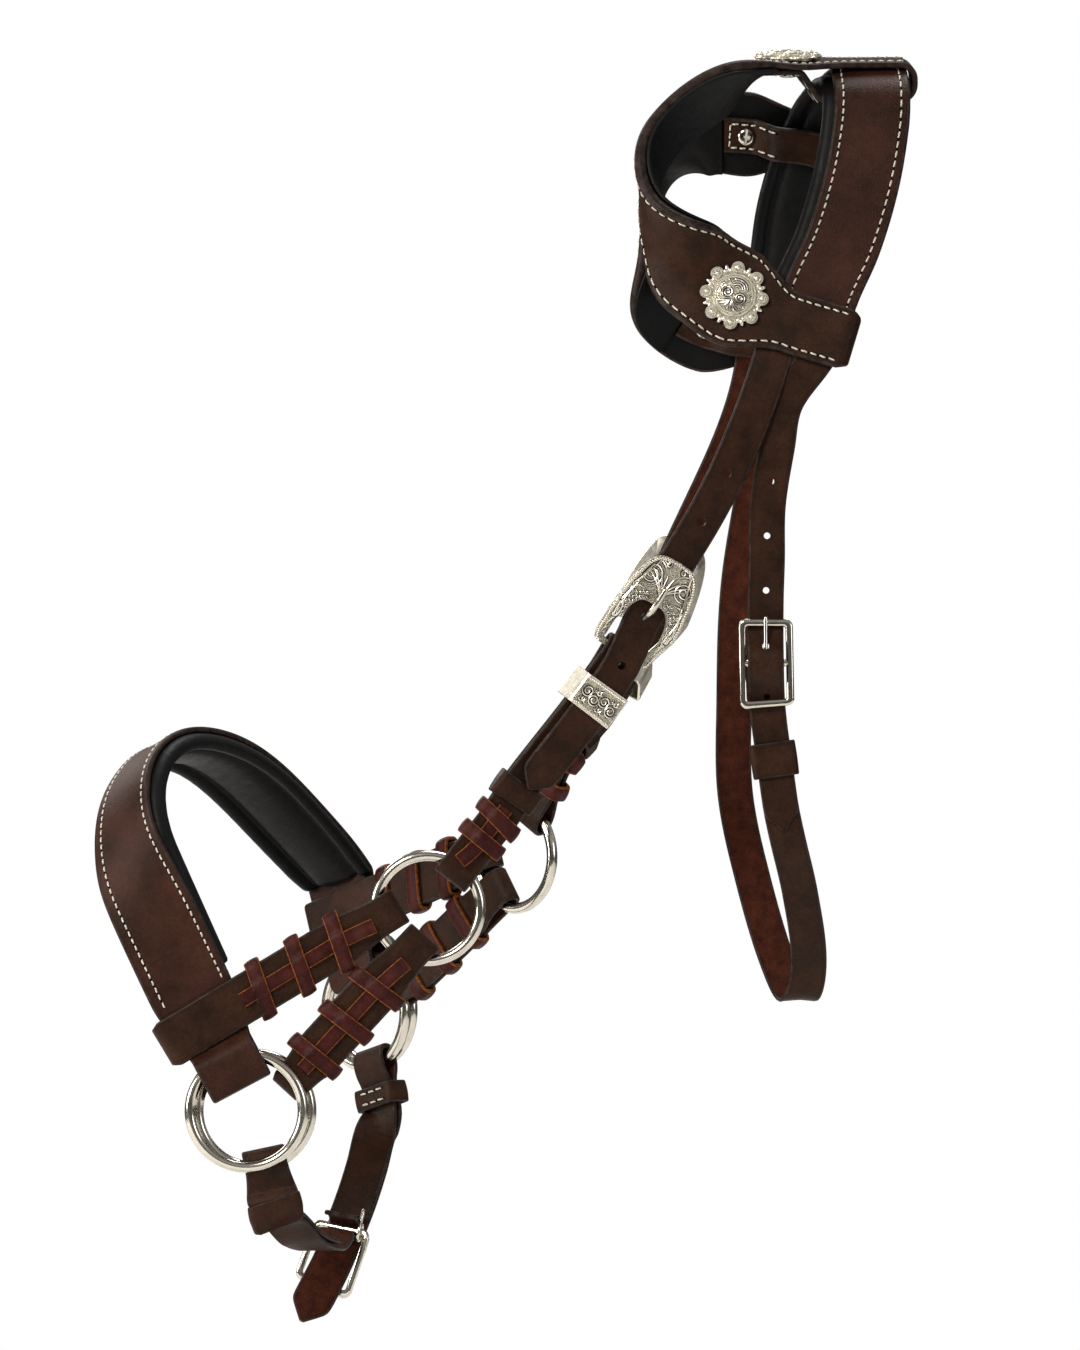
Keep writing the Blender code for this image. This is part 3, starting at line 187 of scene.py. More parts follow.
def leather_face(name, dark, light, rough, pore_mm, depth, mottle_mm=14):
    """Dyed grain side: two browns clouded together, pores pressed in, edges rubbed darker."""
    made, tree, output = new_material(name)
    spot = add_node(tree, "ShaderNodeTexCoord", {}).outputs["Object"]
    cloud = add_node(
        tree, "ShaderNodeTexNoise", {"Scale": 1000 / mottle_mm, "Detail": 5.0, "Roughness": 0.62}, Vector=spot
    ).outputs["Fac"]
    browns = ramp(tree, cloud, dark, light, 0.34, 0.70)
    grit = add_node(tree, "ShaderNodeTexNoise", {"Scale": 900.0, "Detail": 3.0}, Vector=spot)
    gritty = remap(tree, grit.outputs["Fac"], 0.78, 1.18, 0.3, 0.7)
    edge = add_node(tree, "ShaderNodeAttribute", {"attribute_name": "edge"})
    rub = remap(tree, edge.outputs["Fac"], 0.62, 1.0, 0.0, 0.0028)
    shade = add_node(tree, "ShaderNodeMath", {"operation": "MULTIPLY"}, _0=gritty, _1=rub)
    tint = add_node(
        tree, "ShaderNodeVectorMath", {"operation": "SCALE"}, Vector=browns, Scale=shade.outputs[0]
    )
    pores = add_node(
        tree, "ShaderNodeTexVoronoi", {"Scale": 1000 / pore_mm, "feature": "DISTANCE_TO_EDGE"}, Vector=spot
    )
    press = remap(tree, pores.outputs["Distance"], 0.0, 1.0, 0.0, 0.22)
    wrinkle = add_node(
        tree, "ShaderNodeTexNoise", {"Scale": 260.0, "Detail": 6.0, "Distortion": 0.8}, Vector=spot
    )
    relief = add_node(
        tree, "ShaderNodeMath", {"operation": "MULTIPLY_ADD", 1: 0.45}, _0=press, _2=wrinkle.outputs["Fac"]
    )
    gloss = remap(tree, cloud, rough - 0.08, rough + 0.1)
    end_material(
        tree, output, {"Specular IOR Level": 0.11}, tint.outputs[0], gloss, relief.outputs[0], 0.55, depth
    )
    return made


# Oiled harness leather: drum dyed dark brown, a satin skin with fine pores and cloudy tone.
harness_leather = leather_face("oiled_harness_leather", "22140b", "382114", 0.42, 1.1, 0.00022)
# The wide straps are a redder, drier cut of the same hide; their colour is also made lighter as painted
# light, for the extra light that they catch.
crown_leather = leather_face("waxed_crown_leather", "28150d", "40241a", 0.44, 1.2, 0.00025, 22)
# Flesh side: the rough back of the hide, red brown and fibrous, with no shine.
flesh_leather = leather_face("brushed_flesh_side", "2f1209", "4b2314", 0.82, 0.8, 0.0005, 5)
# Burnished edge: the cut edge rubbed hard with wax and smooth, dark brown, clouded with a paler grey that is
# a painted highlight for the light caught on the rounded edge.
burnished_edge_painted_highlight = leather_face("burnished_cut_edge_painted_highlight", "241a16", "4c3e38", 0.42, 2.2, 0.00012, 4)


# Waxed thread: polyester twisted from plies, off white, slightly glossy and finely ribbed.
waxed_thread, tree, output = new_material("waxed_white_thread")
spot = add_node(tree, "ShaderNodeTexCoord", {}).outputs["Object"]
twist = add_node(
    tree, "ShaderNodeTexWave", {"Scale": 420.0, "Distortion": 1.2, "bands_direction": "DIAGONAL"}, Vector=spot
).outputs["Fac"]
end_material(
    tree, output, {"Roughness": 0.55, "Sheen Weight": 0.2}, ramp(tree, twist, "a79f8d", "ece7da"), None,
    twist, 0.5, 0.0002,
)
# Awl holes: the dark punched mouths that each stitch sinks into.
awl_dark = leather_face("awl_hole_shadow", "080504", "0d0806", 0.9, 1.0, 0.0001)


def metres(spots):
    """Points given in millimetres, in metres."""
    return [Vector(spot) / 1000 for spot in spots]


class Line:
    """Centre line of a strap: s runs along it, t across and h out of its face."""

    def __init__(self, stops, fine=16, relax=0):
        spots = [stop[0] for stop in stops]
        ways = []
        for i, stop in enumerate(stops):
            before = spots[max(i - 1, 0)]
            after = spots[min(i + 1, len(spots) - 1)]
            ways.append((stop[2] if len(stop) > 2 and stop[2] else after - before).normalized())
        self.runs = []
        self.frames = []
        run = 0
        last = None
        for i in range(len(stops) - 1):
            span = (spots[i + 1] - spots[i]).length
            for k in range(fine + 1) if i == len(stops) - 2 else range(fine):
                u = k / fine
                spot = spots[i] * (2 * u**3 - 3 * u**2 + 1) + ways[i] * ((u**3 - 2 * u**2 + u) * span)
                spot += spots[i + 1] * (3 * u**2 - 2 * u**3) + ways[i + 1] * ((u**3 - u**2) * span)
                way = (spots[i] - spots[i + 1]) * (6 * u**2 - 6 * u)
                way += ways[i] * ((3 * u**2 - 4 * u + 1) * span)
                way = (way + ways[i + 1] * ((3 * u**2 - 2 * u) * span)).normalized()
                side = stops[i][1].lerp(stops[i + 1][1], 3 * u**2 - 2 * u**3)
                side = (side - way * side.dot(way)).normalized()
                run += (spot - last).length if last else 0
                last = spot
                self.runs.append(run)
                self.frames.append((spot, way, side, side.cross(way)))
        self.long = run
        if relax:
            self.relax(relax, fine)

    def relax(self, rounds, fine):
        """Evens out the line between its first and last spans."""
        spots = [one[0] for one in self.frames]
        sides = [one[2] for one in self.frames]
        inner = range(fine, len(spots) - fine)
        for _ in range(rounds):
            kept = list(spots), list(sides)
            for i in inner:
                spots[i] = kept[0][i] * 0.5 + (kept[0][i - 1] + kept[0][i + 1]) * 0.25
                sides[i] = kept[1][i] * 0.5 + (kept[1][i - 1] + kept[1][i + 1]) * 0.25
        for i in inner:
            way = (spots[i + 1] - spots[i - 1]).normalized()
            side = (sides[i] - way * sides[i].dot(way)).normalized()
            self.frames[i] = (spots[i], way, side, side.cross(way))
            self.runs[i] = self.runs[i - 1] + (spots[i] - spots[i - 1]).length
        for i in range(len(spots) - fine, len(spots)):
            self.runs[i] = self.runs[i - 1] + (spots[i] - spots[i - 1]).length
        self.long = self.runs[-1]

    def at(self, s):
        """Place, heading, side and outward direction at s; straight beyond the ends."""
        if s <= 0 or s >= self.long:
            spot, way, side, out = self.frames[0 if s <= 0 else -1]
            return spot + way * (s if s <= 0 else s - self.long), way, side, out
        i = min(bisect.bisect_right(self.runs, s) - 1, len(self.runs) - 2)
        u = (s - self.runs[i]) / (self.runs[i + 1] - self.runs[i])
        one, two = self.frames[i], self.frames[i + 1]
        way = one[1].lerp(two[1], u).normalized()
        side = one[2].lerp(two[2], u)
        side = (side - way * side.dot(way)).normalized()
        return one[0].lerp(two[0], u), way, side, side.cross(way)

    def put(self, s, t, h):
        spot, _, side, out = self.at(s)
        return spot + side * t + out * h

    def near(self, spot):
        """The s nearest to a point."""
        return self.runs[min(range(len(self.runs)), key=lambda i: (self.frames[i][0] - spot).length)]


def stretch(first, last, steps):
    return [first + (last - first) * k / steps for k in range(steps + 1)]


def ease(value, points):
    """Smooth value between pairs of place and amount."""
    if value <= points[0][0]:
        return points[0][1]
    for (a, u), (b, v) in zip(points, points[1:]):
        if value <= b:
            part = (value - a) / (b - a)
            return u + (v - u) * part * part * (3 - 2 * part)
    return points[-1][1]


def offsets(path, ring):
    """Unit normals of a path in the plane of its first two values, mitred at its bends."""
    normals = []
    total = len(path)
    for i in range(total):
        before = path[(i - 1) % total] if ring or i > 0 else path[i]
        after = path[(i + 1) % total] if ring or i < total - 1 else path[i]
        one = Vector((path[i][0] - before[0], path[i][1] - before[1]))
        two = Vector((after[0] - path[i][0], after[1] - path[i][1]))
        one = one.normalized() if one.length > 0 else two.normalized()
        two = two.normalized() if two.length > 0 else one
        mid = (one + two).normalized()
        share = 1 / max(mid.dot(one), 0.5)
        normals.append((-mid.y * share, mid.x * share))
    return normals


def soften(path, ring=False, rounds=2):
    """Path with its corners cut to curves, its ends kept."""
    for _ in range(rounds):
        found = [] if ring else [path[0]]
        for one, two in zip(path, path[1:] + path[:1] if ring else path[1:]):
            found.append(tuple(a * 0.75 + b * 0.25 for a, b in zip(one, two)))
            found.append(tuple(a * 0.25 + b * 0.75 for a, b in zip(one, two)))
        path = found if ring else found + [path[-1]]
    return path


def cut_section(half, thick, columns=5, corner=0.85):
    """Outline of a cut strip with rounded edges: across, up and the face that starts there."""
    deep = thick / 2
    turn = deep * corner
    found = [(x, -deep, 0) for x in stretch(turn - half, half - turn, columns)]
    for sign, first in ((1, -90), (-1, 90)):
        found[-1] = (*found[-1][:2], 1)
        for n, k in enumerate((1, 2, 3, 3, 4, 5)):
            angle = math.radians(first + 30 * k)
            level = turn - deep if n < 3 else deep - turn
            across = sign * (half - turn) + turn * math.cos(angle)
            found.append((across, sign * level + turn * math.sin(angle), 1))
        if sign > 0:
            found += [(x, deep, 2) for x in stretch(half - turn, turn - half, columns)]
    return found


def circle(centre, one, two, size, count):
    """Points round a centre in the plane of two directions."""
    turn = [2 * math.pi * k / count for k in range(count)]
    return [centre + one * (size * math.cos(a)) + two * (size * math.sin(a)) for a in turn]


def make_piece(name, parts, finishes, edges=None, sharp=50):
    """Mesh object from parts: rows of points, whether they close, and the kind of each face.

    A part with one kind has it all over; else the kinds go round a row and open ends take 1.
    """
    points = []
    faces = []
    kinds = []
    for rows, ring, tags in parts:
        base = len(points)
        count = len(rows[0])
        total = len(rows)
        cap_kind = 1
        if isinstance(tags, int):
            cap_kind, tags = tags, [tags] * count
        for i in range(total if ring else total - 1):
            here = base + i * count
            there = base + (i + 1) % total * count
            for k in range(count):
                m = (k + 1) % count
                faces.append((here + k, here + m, there + m, there + k))
            kinds += tags
        if not ring:
            faces.append(tuple(base + k for k in range(count - 1, -1, -1)))
            faces.append(tuple(base + (total - 1) * count + k for k in range(count)))
            kinds += [cap_kind, cap_kind]
        points += [tuple(p) for row in rows for p in row]
    mesh = bpy.data.meshes.new(name)
    mesh.from_pydata(points, [], faces)
    for finish in finishes:
        mesh.materials.append(finish)
    mesh.polygons.foreach_set("material_index", kinds)
    if edges:
        mesh.attributes.new("edge", "FLOAT", "POINT").data.foreach_set("value", edges)
    shape = bmesh.new()
    shape.from_mesh(mesh)
    bmesh.ops.recalc_face_normals(shape, faces=shape.faces)
    if shape.calc_volume(signed=True) < 0:
        bmesh.ops.reverse_faces(shape, faces=shape.faces)
    shape.to_mesh(mesh)
    shape.free()
    mesh.shade_smooth()
    mesh.set_sharp_from_angle(angle=math.radians(sharp))
    thing = bpy.data.objects.new(name, mesh)
    bpy.context.scene.collection.objects.link(thing)
    return thing


def dress(thing, body, node=None):
    """Gives a piece its body and hides the solid that it stands for."""
    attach(thing, body)
    if node:
        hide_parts(node)


def even_light(thing):
    """Shading that follows the large faces, so that rounded edges stay narrow."""
    change = thing.modifiers.new("even_light", "WEIGHTED_NORMAL")
    change.keep_sharp = True


def cut_away(thing, tools):
    """Cuts tool shapes, given as rows of points, out of a piece and keeps the result."""
    group = bpy.data.collections.new("tools")
    made = []
    for rows in tools:
        tool = make_piece("tool", [(rows, False, 1)], list(thing.data.materials))
        bpy.context.scene.collection.objects.unlink(tool)
        group.objects.link(tool)
        made.append(tool)
    change = thing.modifiers.new("cut", "BOOLEAN")
    change.operand_type = "COLLECTION"
    change.collection = group
    change.operation = "DIFFERENCE"
    change.solver = "EXACT"
    bpy.context.scene.collection.children.link(group)
    bpy.context.view_layer.update()
    graph = bpy.context.evaluated_depsgraph_get()
    result = bpy.data.meshes.new_from_object(thing.evaluated_get(graph))
    thing.modifiers.clear()
    old = thing.data
    thing.data = result
    bpy.data.meshes.remove(old)
    for tool in made:
        bpy.data.objects.remove(tool)
    bpy.data.collections.remove(group)
    result.shade_smooth()
    result.set_sharp_from_angle(angle=math.radians(50))


def strap(
    name, line, path, thick, wide, finishes, node, tools=(), folded=False, mid=0
):
    """Strap along a path in s and h, less its tools; finishes are grain, edge and flesh.

    A folded strap is a closed path with its grain side outwards.
    """
    full = []
    for spot in path:
        across = spot[2] if len(spot) > 2 else (wide(spot[0]) if callable(wide) else wide)
        full.append((spot[0], spot[1], across, spot[3] if len(spot) > 3 else thick))
    full = soften(full, folded)
    rows = []
    edges = []
    for (s, h, across, deep), (ns, nh) in zip(full, offsets(full, folded)):
        section = cut_section(across / 2, deep)
        rows.append([line.put(s + ns * n, mid + t, h + nh * n) for t, n, _ in section])
        edges += [across / 2 - abs(t) for t, _, _ in section]
    order = (0, 1, 2) if folded else (2, 1, 0)
    tags = [order[kind] for _, _, kind in section]
    piece = make_piece(name, [(rows, folded, tags)], finishes, edges)
    if tools:
        cut_away(piece, tools)
    even_light(piece)
    dress(piece, "headstall", node)


def rod_between(start, end, radius, count):
    """Rows of a plain round rod between two points."""
    way = (end - start).normalized()
    side = way.orthogonal().normalized()
    return [circle(spot, side, way.cross(side), radius, count) for spot in (start, end)]


def sew(name, runs, pitch=stitch_pitch):
    """Saddle stitches: each run is a line, its s range, t and h as functions, and the sign of h."""
    parts = []
    turn = [2 * math.pi * k / 7 for k in range(7)]
    for line, first, last, across, level, sign in runs:
        count = max(int(round((last - first) / pitch)), 1)
        step = (last - first) / count
        for n in range(count):
            mid_s = first + step * (n + 0.5)
            rows = []
            for u in (-1.0, -0.86, -0.45, 0.0, 0.45, 0.86, 1.0):
                s = mid_s + u * pitch * stitch_share
                bulk = stitch_wide / 2 * (1 - 0.42 * u**4)
                middle = across(s) + u * stitch_wide * 0.14
                high = level(s) + sign * stitch_wide * (0.22 - 0.55 * u**4)
                rows.append([
                    line.put(s, middle + bulk * math.cos(a), high + sign * bulk * 0.85 * math.sin(a))
                    for a in turn
                ])
            parts.append((rows, False, 0))
            s = mid_s + step / 2
            rows = []
            for share, deep in ((0.25, -0.0003), (0.55, 0.00004), (0.4, 0.00007)):
                size = stitch_wide * share
                high = level(s) + sign * deep
                rows.append([
                    line.put(s + size * 1.5 * math.cos(a), across(s) + size * math.sin(a), high) for a in turn
                ])
            parts.append((rows, False, 1))
    dress(make_piece(name, parts, [waxed_thread, awl_dark], None, 70), "headstall")


crown_spots = (
    (-28.6, -54.5, -115.3), (-20.7, -50, -90.6), (-11.0, -44, -68.6), (-3.1, -37.5, -42.2),
    (1.3, -31.5, -16.7),
    (1.8, -27, -3.5), (0.9, -18, 4.4), (0.4, -8, 7.0), (-0.4, 2, 7.0), (-3.1, 13, 3.5), (-8.8, 23, -6.2),
    (-15.4, 29, -19.4), (-22.4, 34, -37.0), (-27.3, 39, -55.4), (-30.4, 45, -78.3),
    (-34.3, 50, -99.4), (-37.4, 54, -119.7)
)
crown = Line([(spot, Vector((1, 0, 0))) for spot in metres(crown_spots)])
crown_path = [(s, 0) for s in stretch(0, crown.long, 60)]
crown_face = 0.0335
crown_shift = 0.0019
strap(
    "crown_band", crown, crown_path, crown_thick, crown_face, [crown_leather, burnished_edge_painted_highlight, flesh_leather],
    "crown_strap", mid=crown_shift,
)
seam_in = 0.0040
seam_from = crown_wide * 0.42
sew("crown_stitching", [
    (crown, seam_from, crown.long - seam_from, lambda s, k=k: crown_shift + k * (crown_face / 2 - seam_in),
     lambda s: crown_thick / 2, 1)
    for k in (-1, 1)
])

# Crown lining: black chap leather drawn over soft felt and sewn under the crown, with a
# rolled rim along both sides and a raised pad between them. The leather is supple, so it
# puffs out between its seams and puckers a little.
crown_pad = 0.0058
# Chap leather: thin, supple and black, a low satin shine with fine creases and puckers.
chap_leather, tree, output = new_material("black_chap_leather")
spot = add_node(tree, "ShaderNodeTexCoord", {}).outputs["Object"]
cloud = add_node(tree, "ShaderNodeTexNoise", {"Scale": 60.0, "Detail": 5.0}, Vector=spot)
grain = add_node(tree, "ShaderNodeTexVoronoi", {"Scale": 800.0, "feature": "DISTANCE_TO_EDGE"}, Vector=spot)
crease = add_node(
    tree, "ShaderNodeTexNoise", {"Scale": 140.0, "Detail": 7.0, "Distortion": 1.6}, Vector=spot
).outputs["Fac"]
relief = add_node(
    tree, "ShaderNodeMath", {"operation": "MULTIPLY_ADD", 1: 0.35}, _0=grain.outputs["Distance"], _2=crease
)
end_material(
    tree, output, {"Specular IOR Level": 0.14}, ramp(tree, cloud.outputs["Fac"], "060606", "121112"),
    remap(tree, crease, 0.36, 0.6), relief.outputs[0], 0.5, 0.0006,
)
pad_outline = (
    (-1.05, 0.22), (-1.10, 0.48), (-1.09, 0.80), (-1.00, 1.00), (-0.88, 0.98), (-0.79, 0.76), (-0.73, 0.56),
    (-0.68, 0.54), (-0.61, 0.66), (-0.50, 0.86), (-0.36, 0.95), (-0.18, 0.99), (0, 1),
)
pad_outline += tuple((-share, deep) for share, deep in reversed(pad_outline[:-1]))
swell_most = 0.0016
pad_row_pitch = 0.0026
pressure_frames = 20


def padded_lining(name, line, first, last, wide, top, depth, wave, shift, node):
    """Lining sewn under a strap, its free face blown up by cloth pressure from its seams."""
    rows = []
    pins = []
    steps = int((last - first) / pad_row_pitch)
    lids = stretch(-0.96, 0.96, 12)
    for i, s in enumerate(stretch(first, last, steps)):
        left = min(s - first, last - s)
        full = ease(left, ((0, 0.35), (wide * 0.22, 0.86), (wide / 2, 1)))
        row = [line.put(s, shift + share * wide / 2, -top) for share in lids]
        pinned = [1.0] * len(lids)
        for share, deep in reversed(pad_outline):
            pucker = 0.00012 * math.sin(s * wave + share * 5) * (1 if 0.6 > abs(share) else 0.5)
            row.append(line.put(s, shift + share * wide / 2, -top - deep * depth * full + pucker))
            pinned.append(1.0 if deep < 0.4 or abs(abs(share) - 0.67) < 0.05 else 0.0)
        rows.append(row)
        pins += [1.0] * len(pinned) if i in (0, steps) else pinned
    pad = make_piece(name, [(rows, False, 0)], [chap_leather])
    rest = [v.co.copy() for v in pad.data.vertices]
    held = pad.vertex_groups.new(name="sewn")
    held.add([i for i, pin in enumerate(pins) if pin > 0.5], 1.0, "REPLACE")
    cloth = pad.modifiers.new("felt_pressure", "CLOTH")
    cloth.settings.use_pressure = True
    cloth.settings.uniform_pressure_force = 4
    cloth.settings.effector_weights.gravity = 0
    cloth.settings.vertex_group_mass = "sewn"
    cloth.settings.mass = 0.15
    cloth.settings.tension_stiffness = 6
    cloth.settings.compression_stiffness = 2
    cloth.settings.bending_stiffness = 0.2
    cloth.point_cache.frame_start = 1
    cloth.point_cache.frame_end = pressure_frames
    for step in range(1, pressure_frames + 1):
        bpy.context.scene.frame_set(step)
    graph = bpy.context.evaluated_depsgraph_get()
    blown = pad.evaluated_get(graph).data
    moved = []
    for before, vertex in zip(rest, blown.vertices):
        move = vertex.co - before
        if move.length > swell_most:
            move = move.normalized() * swell_most
        moved.append(before + move)
    pad.modifiers.clear()
    for vertex, spot in zip(pad.data.vertices, moved):
        vertex.co = spot
    bpy.context.scene.frame_set(1)
    change = pad.modifiers.new("supple", "SUBSURF")
    change.levels = 1
    change.render_levels = 1
    dress(pad, "headstall", node)


padded_lining(
    "crown_cushion", crown, crown_wide * 0.56, crown.long - crown_wide * 0.56, crown_wide * 0.93,
    crown_thick / 2 + gap, crown_pad, 900, -crown_wide * 0.03, "crown_lining",
)

# Cheek lines: each side has a flat plane of rings. The line of its cheek piece runs up
# from the cheek ring, through the keepers and the buckle, to the split of the crown.
wire = 0.0048
cheek_ring_across = 0.0510
lower_ring_across = 0.0545
ply = 0.0021
ply_gap = 0.0010
cheek_ply_gap = 0.0012
bar = 0.0030
keeper_at = 0.0640
silver_at = 0.1180
heel_at = 0.1415
hole_at = 0.1600
arch_at = 0.1665
crest_at = 0.1880
billet_end_at = 0.0685
billet_side = 0.0022
hole_across = 0.0036
hole_pitch = 0.0242
leather_keeper_long = 0.0110
ring_radius = (cheek_ring_across - wire) / 2
lower_radius = (lower_ring_across - wire) / 2


class Side:
    """One side of the bridle: the plane of its rings, from the cheek ring centre."""

    def __init__(self, mark, hub, fore, out, turn, hand):
        self.mark = mark
        self.hub = hub
        self.fore = fore.normalized()
        self.out = out.normalized()
        self.turn = turn
        self.hand = hand

    def way(self, angle):
        angle = angle + self.turn
        return self.fore * math.cos(angle) + Vector((0, 0, 1)) * math.sin(angle)


near = Side("left", *metres([(-192.3, -58, -362.6)]), Vector((1, 0, 0)), Vector((0, -1, 0)), 0, 1)
far = Side(
    "right", *metres([(-154.0, 0, -340.1)]), Vector((1, -1, 0)), Vector((1, 1, 0)), math.radians(-13), -1
)
near_way = (metres([(-176.0, -58, -341.9)])[0] - near.hub).normalized()
stops = [(near.hub + near_way * wire * k, near_way.cross(near.out), near_way) for k in (0, 9.5)]
near_cheek_spots = (
    (-150.5, -58, -307.1), (-128.5, -58, -279.0), (-116.6, -58, -263.1), (-107.4, -58, -249.5),
    (-95.5, -58, -228.8), (-81.0, -58, -205.5)
)
near.cheek = Line(stops + [(spot, Vector((0.84, 0.26, -0.48))) for spot in metres(near_cheek_spots)])
far_way = far.fore * 0.515 + Vector((0, 0, 0.857))
stops = [(far.hub + far_way * wire * k, far_way.cross(far.out), far_way) for k in (0, 9.5)]
far_cheek_spots = (
    (-116.6, 10, -274.6), (-103.0, 30, -250.8), (-93.7, 42, -234.5), (-86.7, 49, -220.9),
    (-76.1, 53, -198.4)
)
far.cheek = Line(stops + [(spot, Vector((-0.92, -0.12, 0.35))) for spot in metres(far_cheek_spots)])


def reach_in(radius, edge):
    """How far from a ring centre a flat fold of this half width clears the wire."""
    inside = radius - wire / 2
    return math.sqrt(max(inside**2 - edge**2, 0)) - slack


def arc(s, h, radius, start, end, steps):
    """Points on an arc in the plane of s and h, angles in degrees from the s direction."""
    turn = [math.radians(a) for a in stretch(start, end, steps)]
    return [(s + radius * math.cos(a), h + radius * math.sin(a)) for a in turn]


# Cheek billets: the two narrow tails of the crown, each pointed and punched with a row of
# buckle holes. The holes are cut right through and show a dark burnished wall.
leather_set = [harness_leather, burnished_edge_painted_highlight, flesh_leather]


def punch(line, s, t, low, high, radius):
    """Cutter for one round hole through a strap."""
    return rod_between(line.put(s, t, low), line.put(s, t, high), radius, 18)


def build_billet(side):
    flip = side.hand
    spine = side.cheek
    level = bar / 2 + slack + ply + gap * 2 + billet_thick / 2
    low_drift = billet_side * flip * (1.1 if flip > 0 else -0.4)

    def drift(s):
        return ease(s, ((silver_at + leather_keeper_long, low_drift), (hole_at, -billet_side * flip * 0.2)))

    last = 0 if flip > 0 else crown.long
    inward = 1 if flip > 0 else -1
    _, root_way, root_side, _ = crown.at(last + inward * crown_wide * 0.2)
    down = -root_way * inward
    stops = [
        (crown.put(last + inward * crown_wide * 0.2, -crown_wide * 0.26, 0), -root_side * inward, down),
        (crown.put(last - inward * crown_wide * 0.1, -crown_wide * 0.27, 0), -root_side * inward, down),
    ]
    for s in stretch(crest_at + crown_wide * 0.3, keeper_at, 19):
        _, way, across, _ = spine.at(s)
        stops.append((spine.put(s, drift(s), level), -across, -way))
    line = Line(stops)
    end = line.near(spine.put(billet_end_at, drift(billet_end_at), level))
    tip = ((0, 0.08), (0.1, 0.34), (0.26, 0.68), (0.38, 0.92), (0.5, 1))
    path = [(s, 0, cheek_wide) for s in stretch(0, end - cheek_wide, 30)]
    path += [(end - cheek_wide * share, 0, cheek_wide * wide) for share, wide in reversed(tip)]
    first = line.near(spine.put(hole_at, drift(hole_at), level))
    holes = [
        punch(line, first + step * hole_pitch, 0, -billet_thick, billet_thick, hole_across / 2)
        for step in (-3, -2, -1, 0, 1)
    ]
    strap(
        "cheek_billet_" + side.mark, line, path, billet_thick, cheek_wide, leather_set, "crown_strap", holes
    )
    return line


near.billet = build_billet(near)
far.billet = build_billet(far)

# Cheek rings, chin rings and rein rings: welded rings of nickel-plated steel wire, ground
# and polished all round. Two straps and a cheek piece fold round each cheek ring.
front_run = 0.1090
front_offset = 0.0074
rear_run = 0.1172
rear_offset = 0.0074
rear_miss = 0.0035
front_angle = math.radians(211)
rear_angle = math.radians(227.5)
rein_ring_rise = 0.0080
ring_shift = 0.0034
ring_steps = 120
wire_steps = 20


def plated_metal(name, bright, dull, rough, scratch_mm):
    """Plated and polished metal: mirror-like, softened by fine rubbing marks and a warm cast."""
    made, tree, output = new_material(name)
    spot = add_node(tree, "ShaderNodeTexCoord", {}).outputs["Object"]
    rubbed = add_node(
        tree, "ShaderNodeTexNoise", {"Scale": 1000 / scratch_mm, "Detail": 5.0, "Distortion": 0.6},
        Vector=spot,
    ).outputs["Fac"]
    end_material(
        tree, output, {"Metallic": 1.0}, ramp(tree, rubbed, dull, bright, 0.3, 0.7),
        remap(tree, rubbed, rough * 0.7, rough * 1.4), rubbed, 0.25, 0.00005,
    )
    return made


# Nickel plate over steel, buffed: bright with a faint warm grey body.
nickel_plate = plated_metal("buffed_nickel_plate", "dcd6ca", "cfc9bd", 0.15, 5.0)


def round_ring(name, centre, fore, radius):
    """Ring of round wire standing in the plane of its side."""
    up = Vector((0, 0, 1))
    rows = []
    for i in range(ring_steps):
        a = 2 * math.pi * i / ring_steps
        way = fore * math.cos(a) + up * math.sin(a)
        rows.append(circle(centre + way * radius, way, fore.cross(up).normalized(), wire / 2, wire_steps))
    dress(make_piece(name + "_wire", [(rows, True, 0)], [nickel_plate]), name, name)


def connector_line(side, front):
    """Straight line of one connector, from the cheek ring down."""
    way = side.way(front_angle if front else rear_angle)
    across = way.cross(side.out)
    offset = (front_offset if front else -rear_offset) * side.hand
    start = side.hub + across * offset
    hint = way.cross(side.out).normalized()
    return Line([(start, hint, way), (start + way * 0.36, hint, way)], 2)


for side in (near, far):
    side.front = connector_line(side, True)
    side.rear = connector_line(side, False)
    side.low_hub = side.rear.put(rear_run, rear_miss * side.hand, 0)
    side.crossing = side.front.put(front_run, 0, 0)
    rein_hub = side.low_hub + side.out * rein_ring_rise + side.way(math.pi) * ring_shift
    round_ring("cheek_ring_" + side.mark, side.hub, side.fore, ring_radius)
    round_ring("chin_ring_" + side.mark, side.low_hub, side.fore, lower_radius)
    round_ring("rein_ring_" + side.mark, rein_hub, side.fore, lower_radius)


# Lower cheek pieces: one strap folded round the cheek ring below and round the heel bar of
# the buckle above, grain side out, held shut by a stitchless leather keeper and by lace.
def hairpin(near_s, far_s, near_open, far_open, mid, thick, steps):
    """Closed path of a strap folded round something at both ends."""
    a = near_open / 2 + thick / 2
    b = far_open / 2 + thick / 2
    path = arc(near_s + a, 0, a, 90, 270, 8)
    path += [(near_s + a + wire, -a), (near_s + a * 3.2 + wire, -mid)]
    middle = stretch(near_s + a * 3.2 + wire, far_s - b * 3.2 - wire, steps)
    path += [(s, -mid) for s in middle[1:]] + [(far_s - b - wire, -b)]
    path += arc(far_s - b, 0, b, -90, 90, 8)
    path += [(far_s - b - wire, b), (far_s - b * 3.2 - wire, mid)]
    return path + [(s, mid) for s in middle[-2::-1]] + [(near_s + a + wire, a)]


def block(line, places, half, low, high):
    """Square cutter along a line."""
    corners = ((-half, low), (half, low), (half, high), (-half, high))
    return [[line.put(s, t, h) for t, h in corners] for s in places]


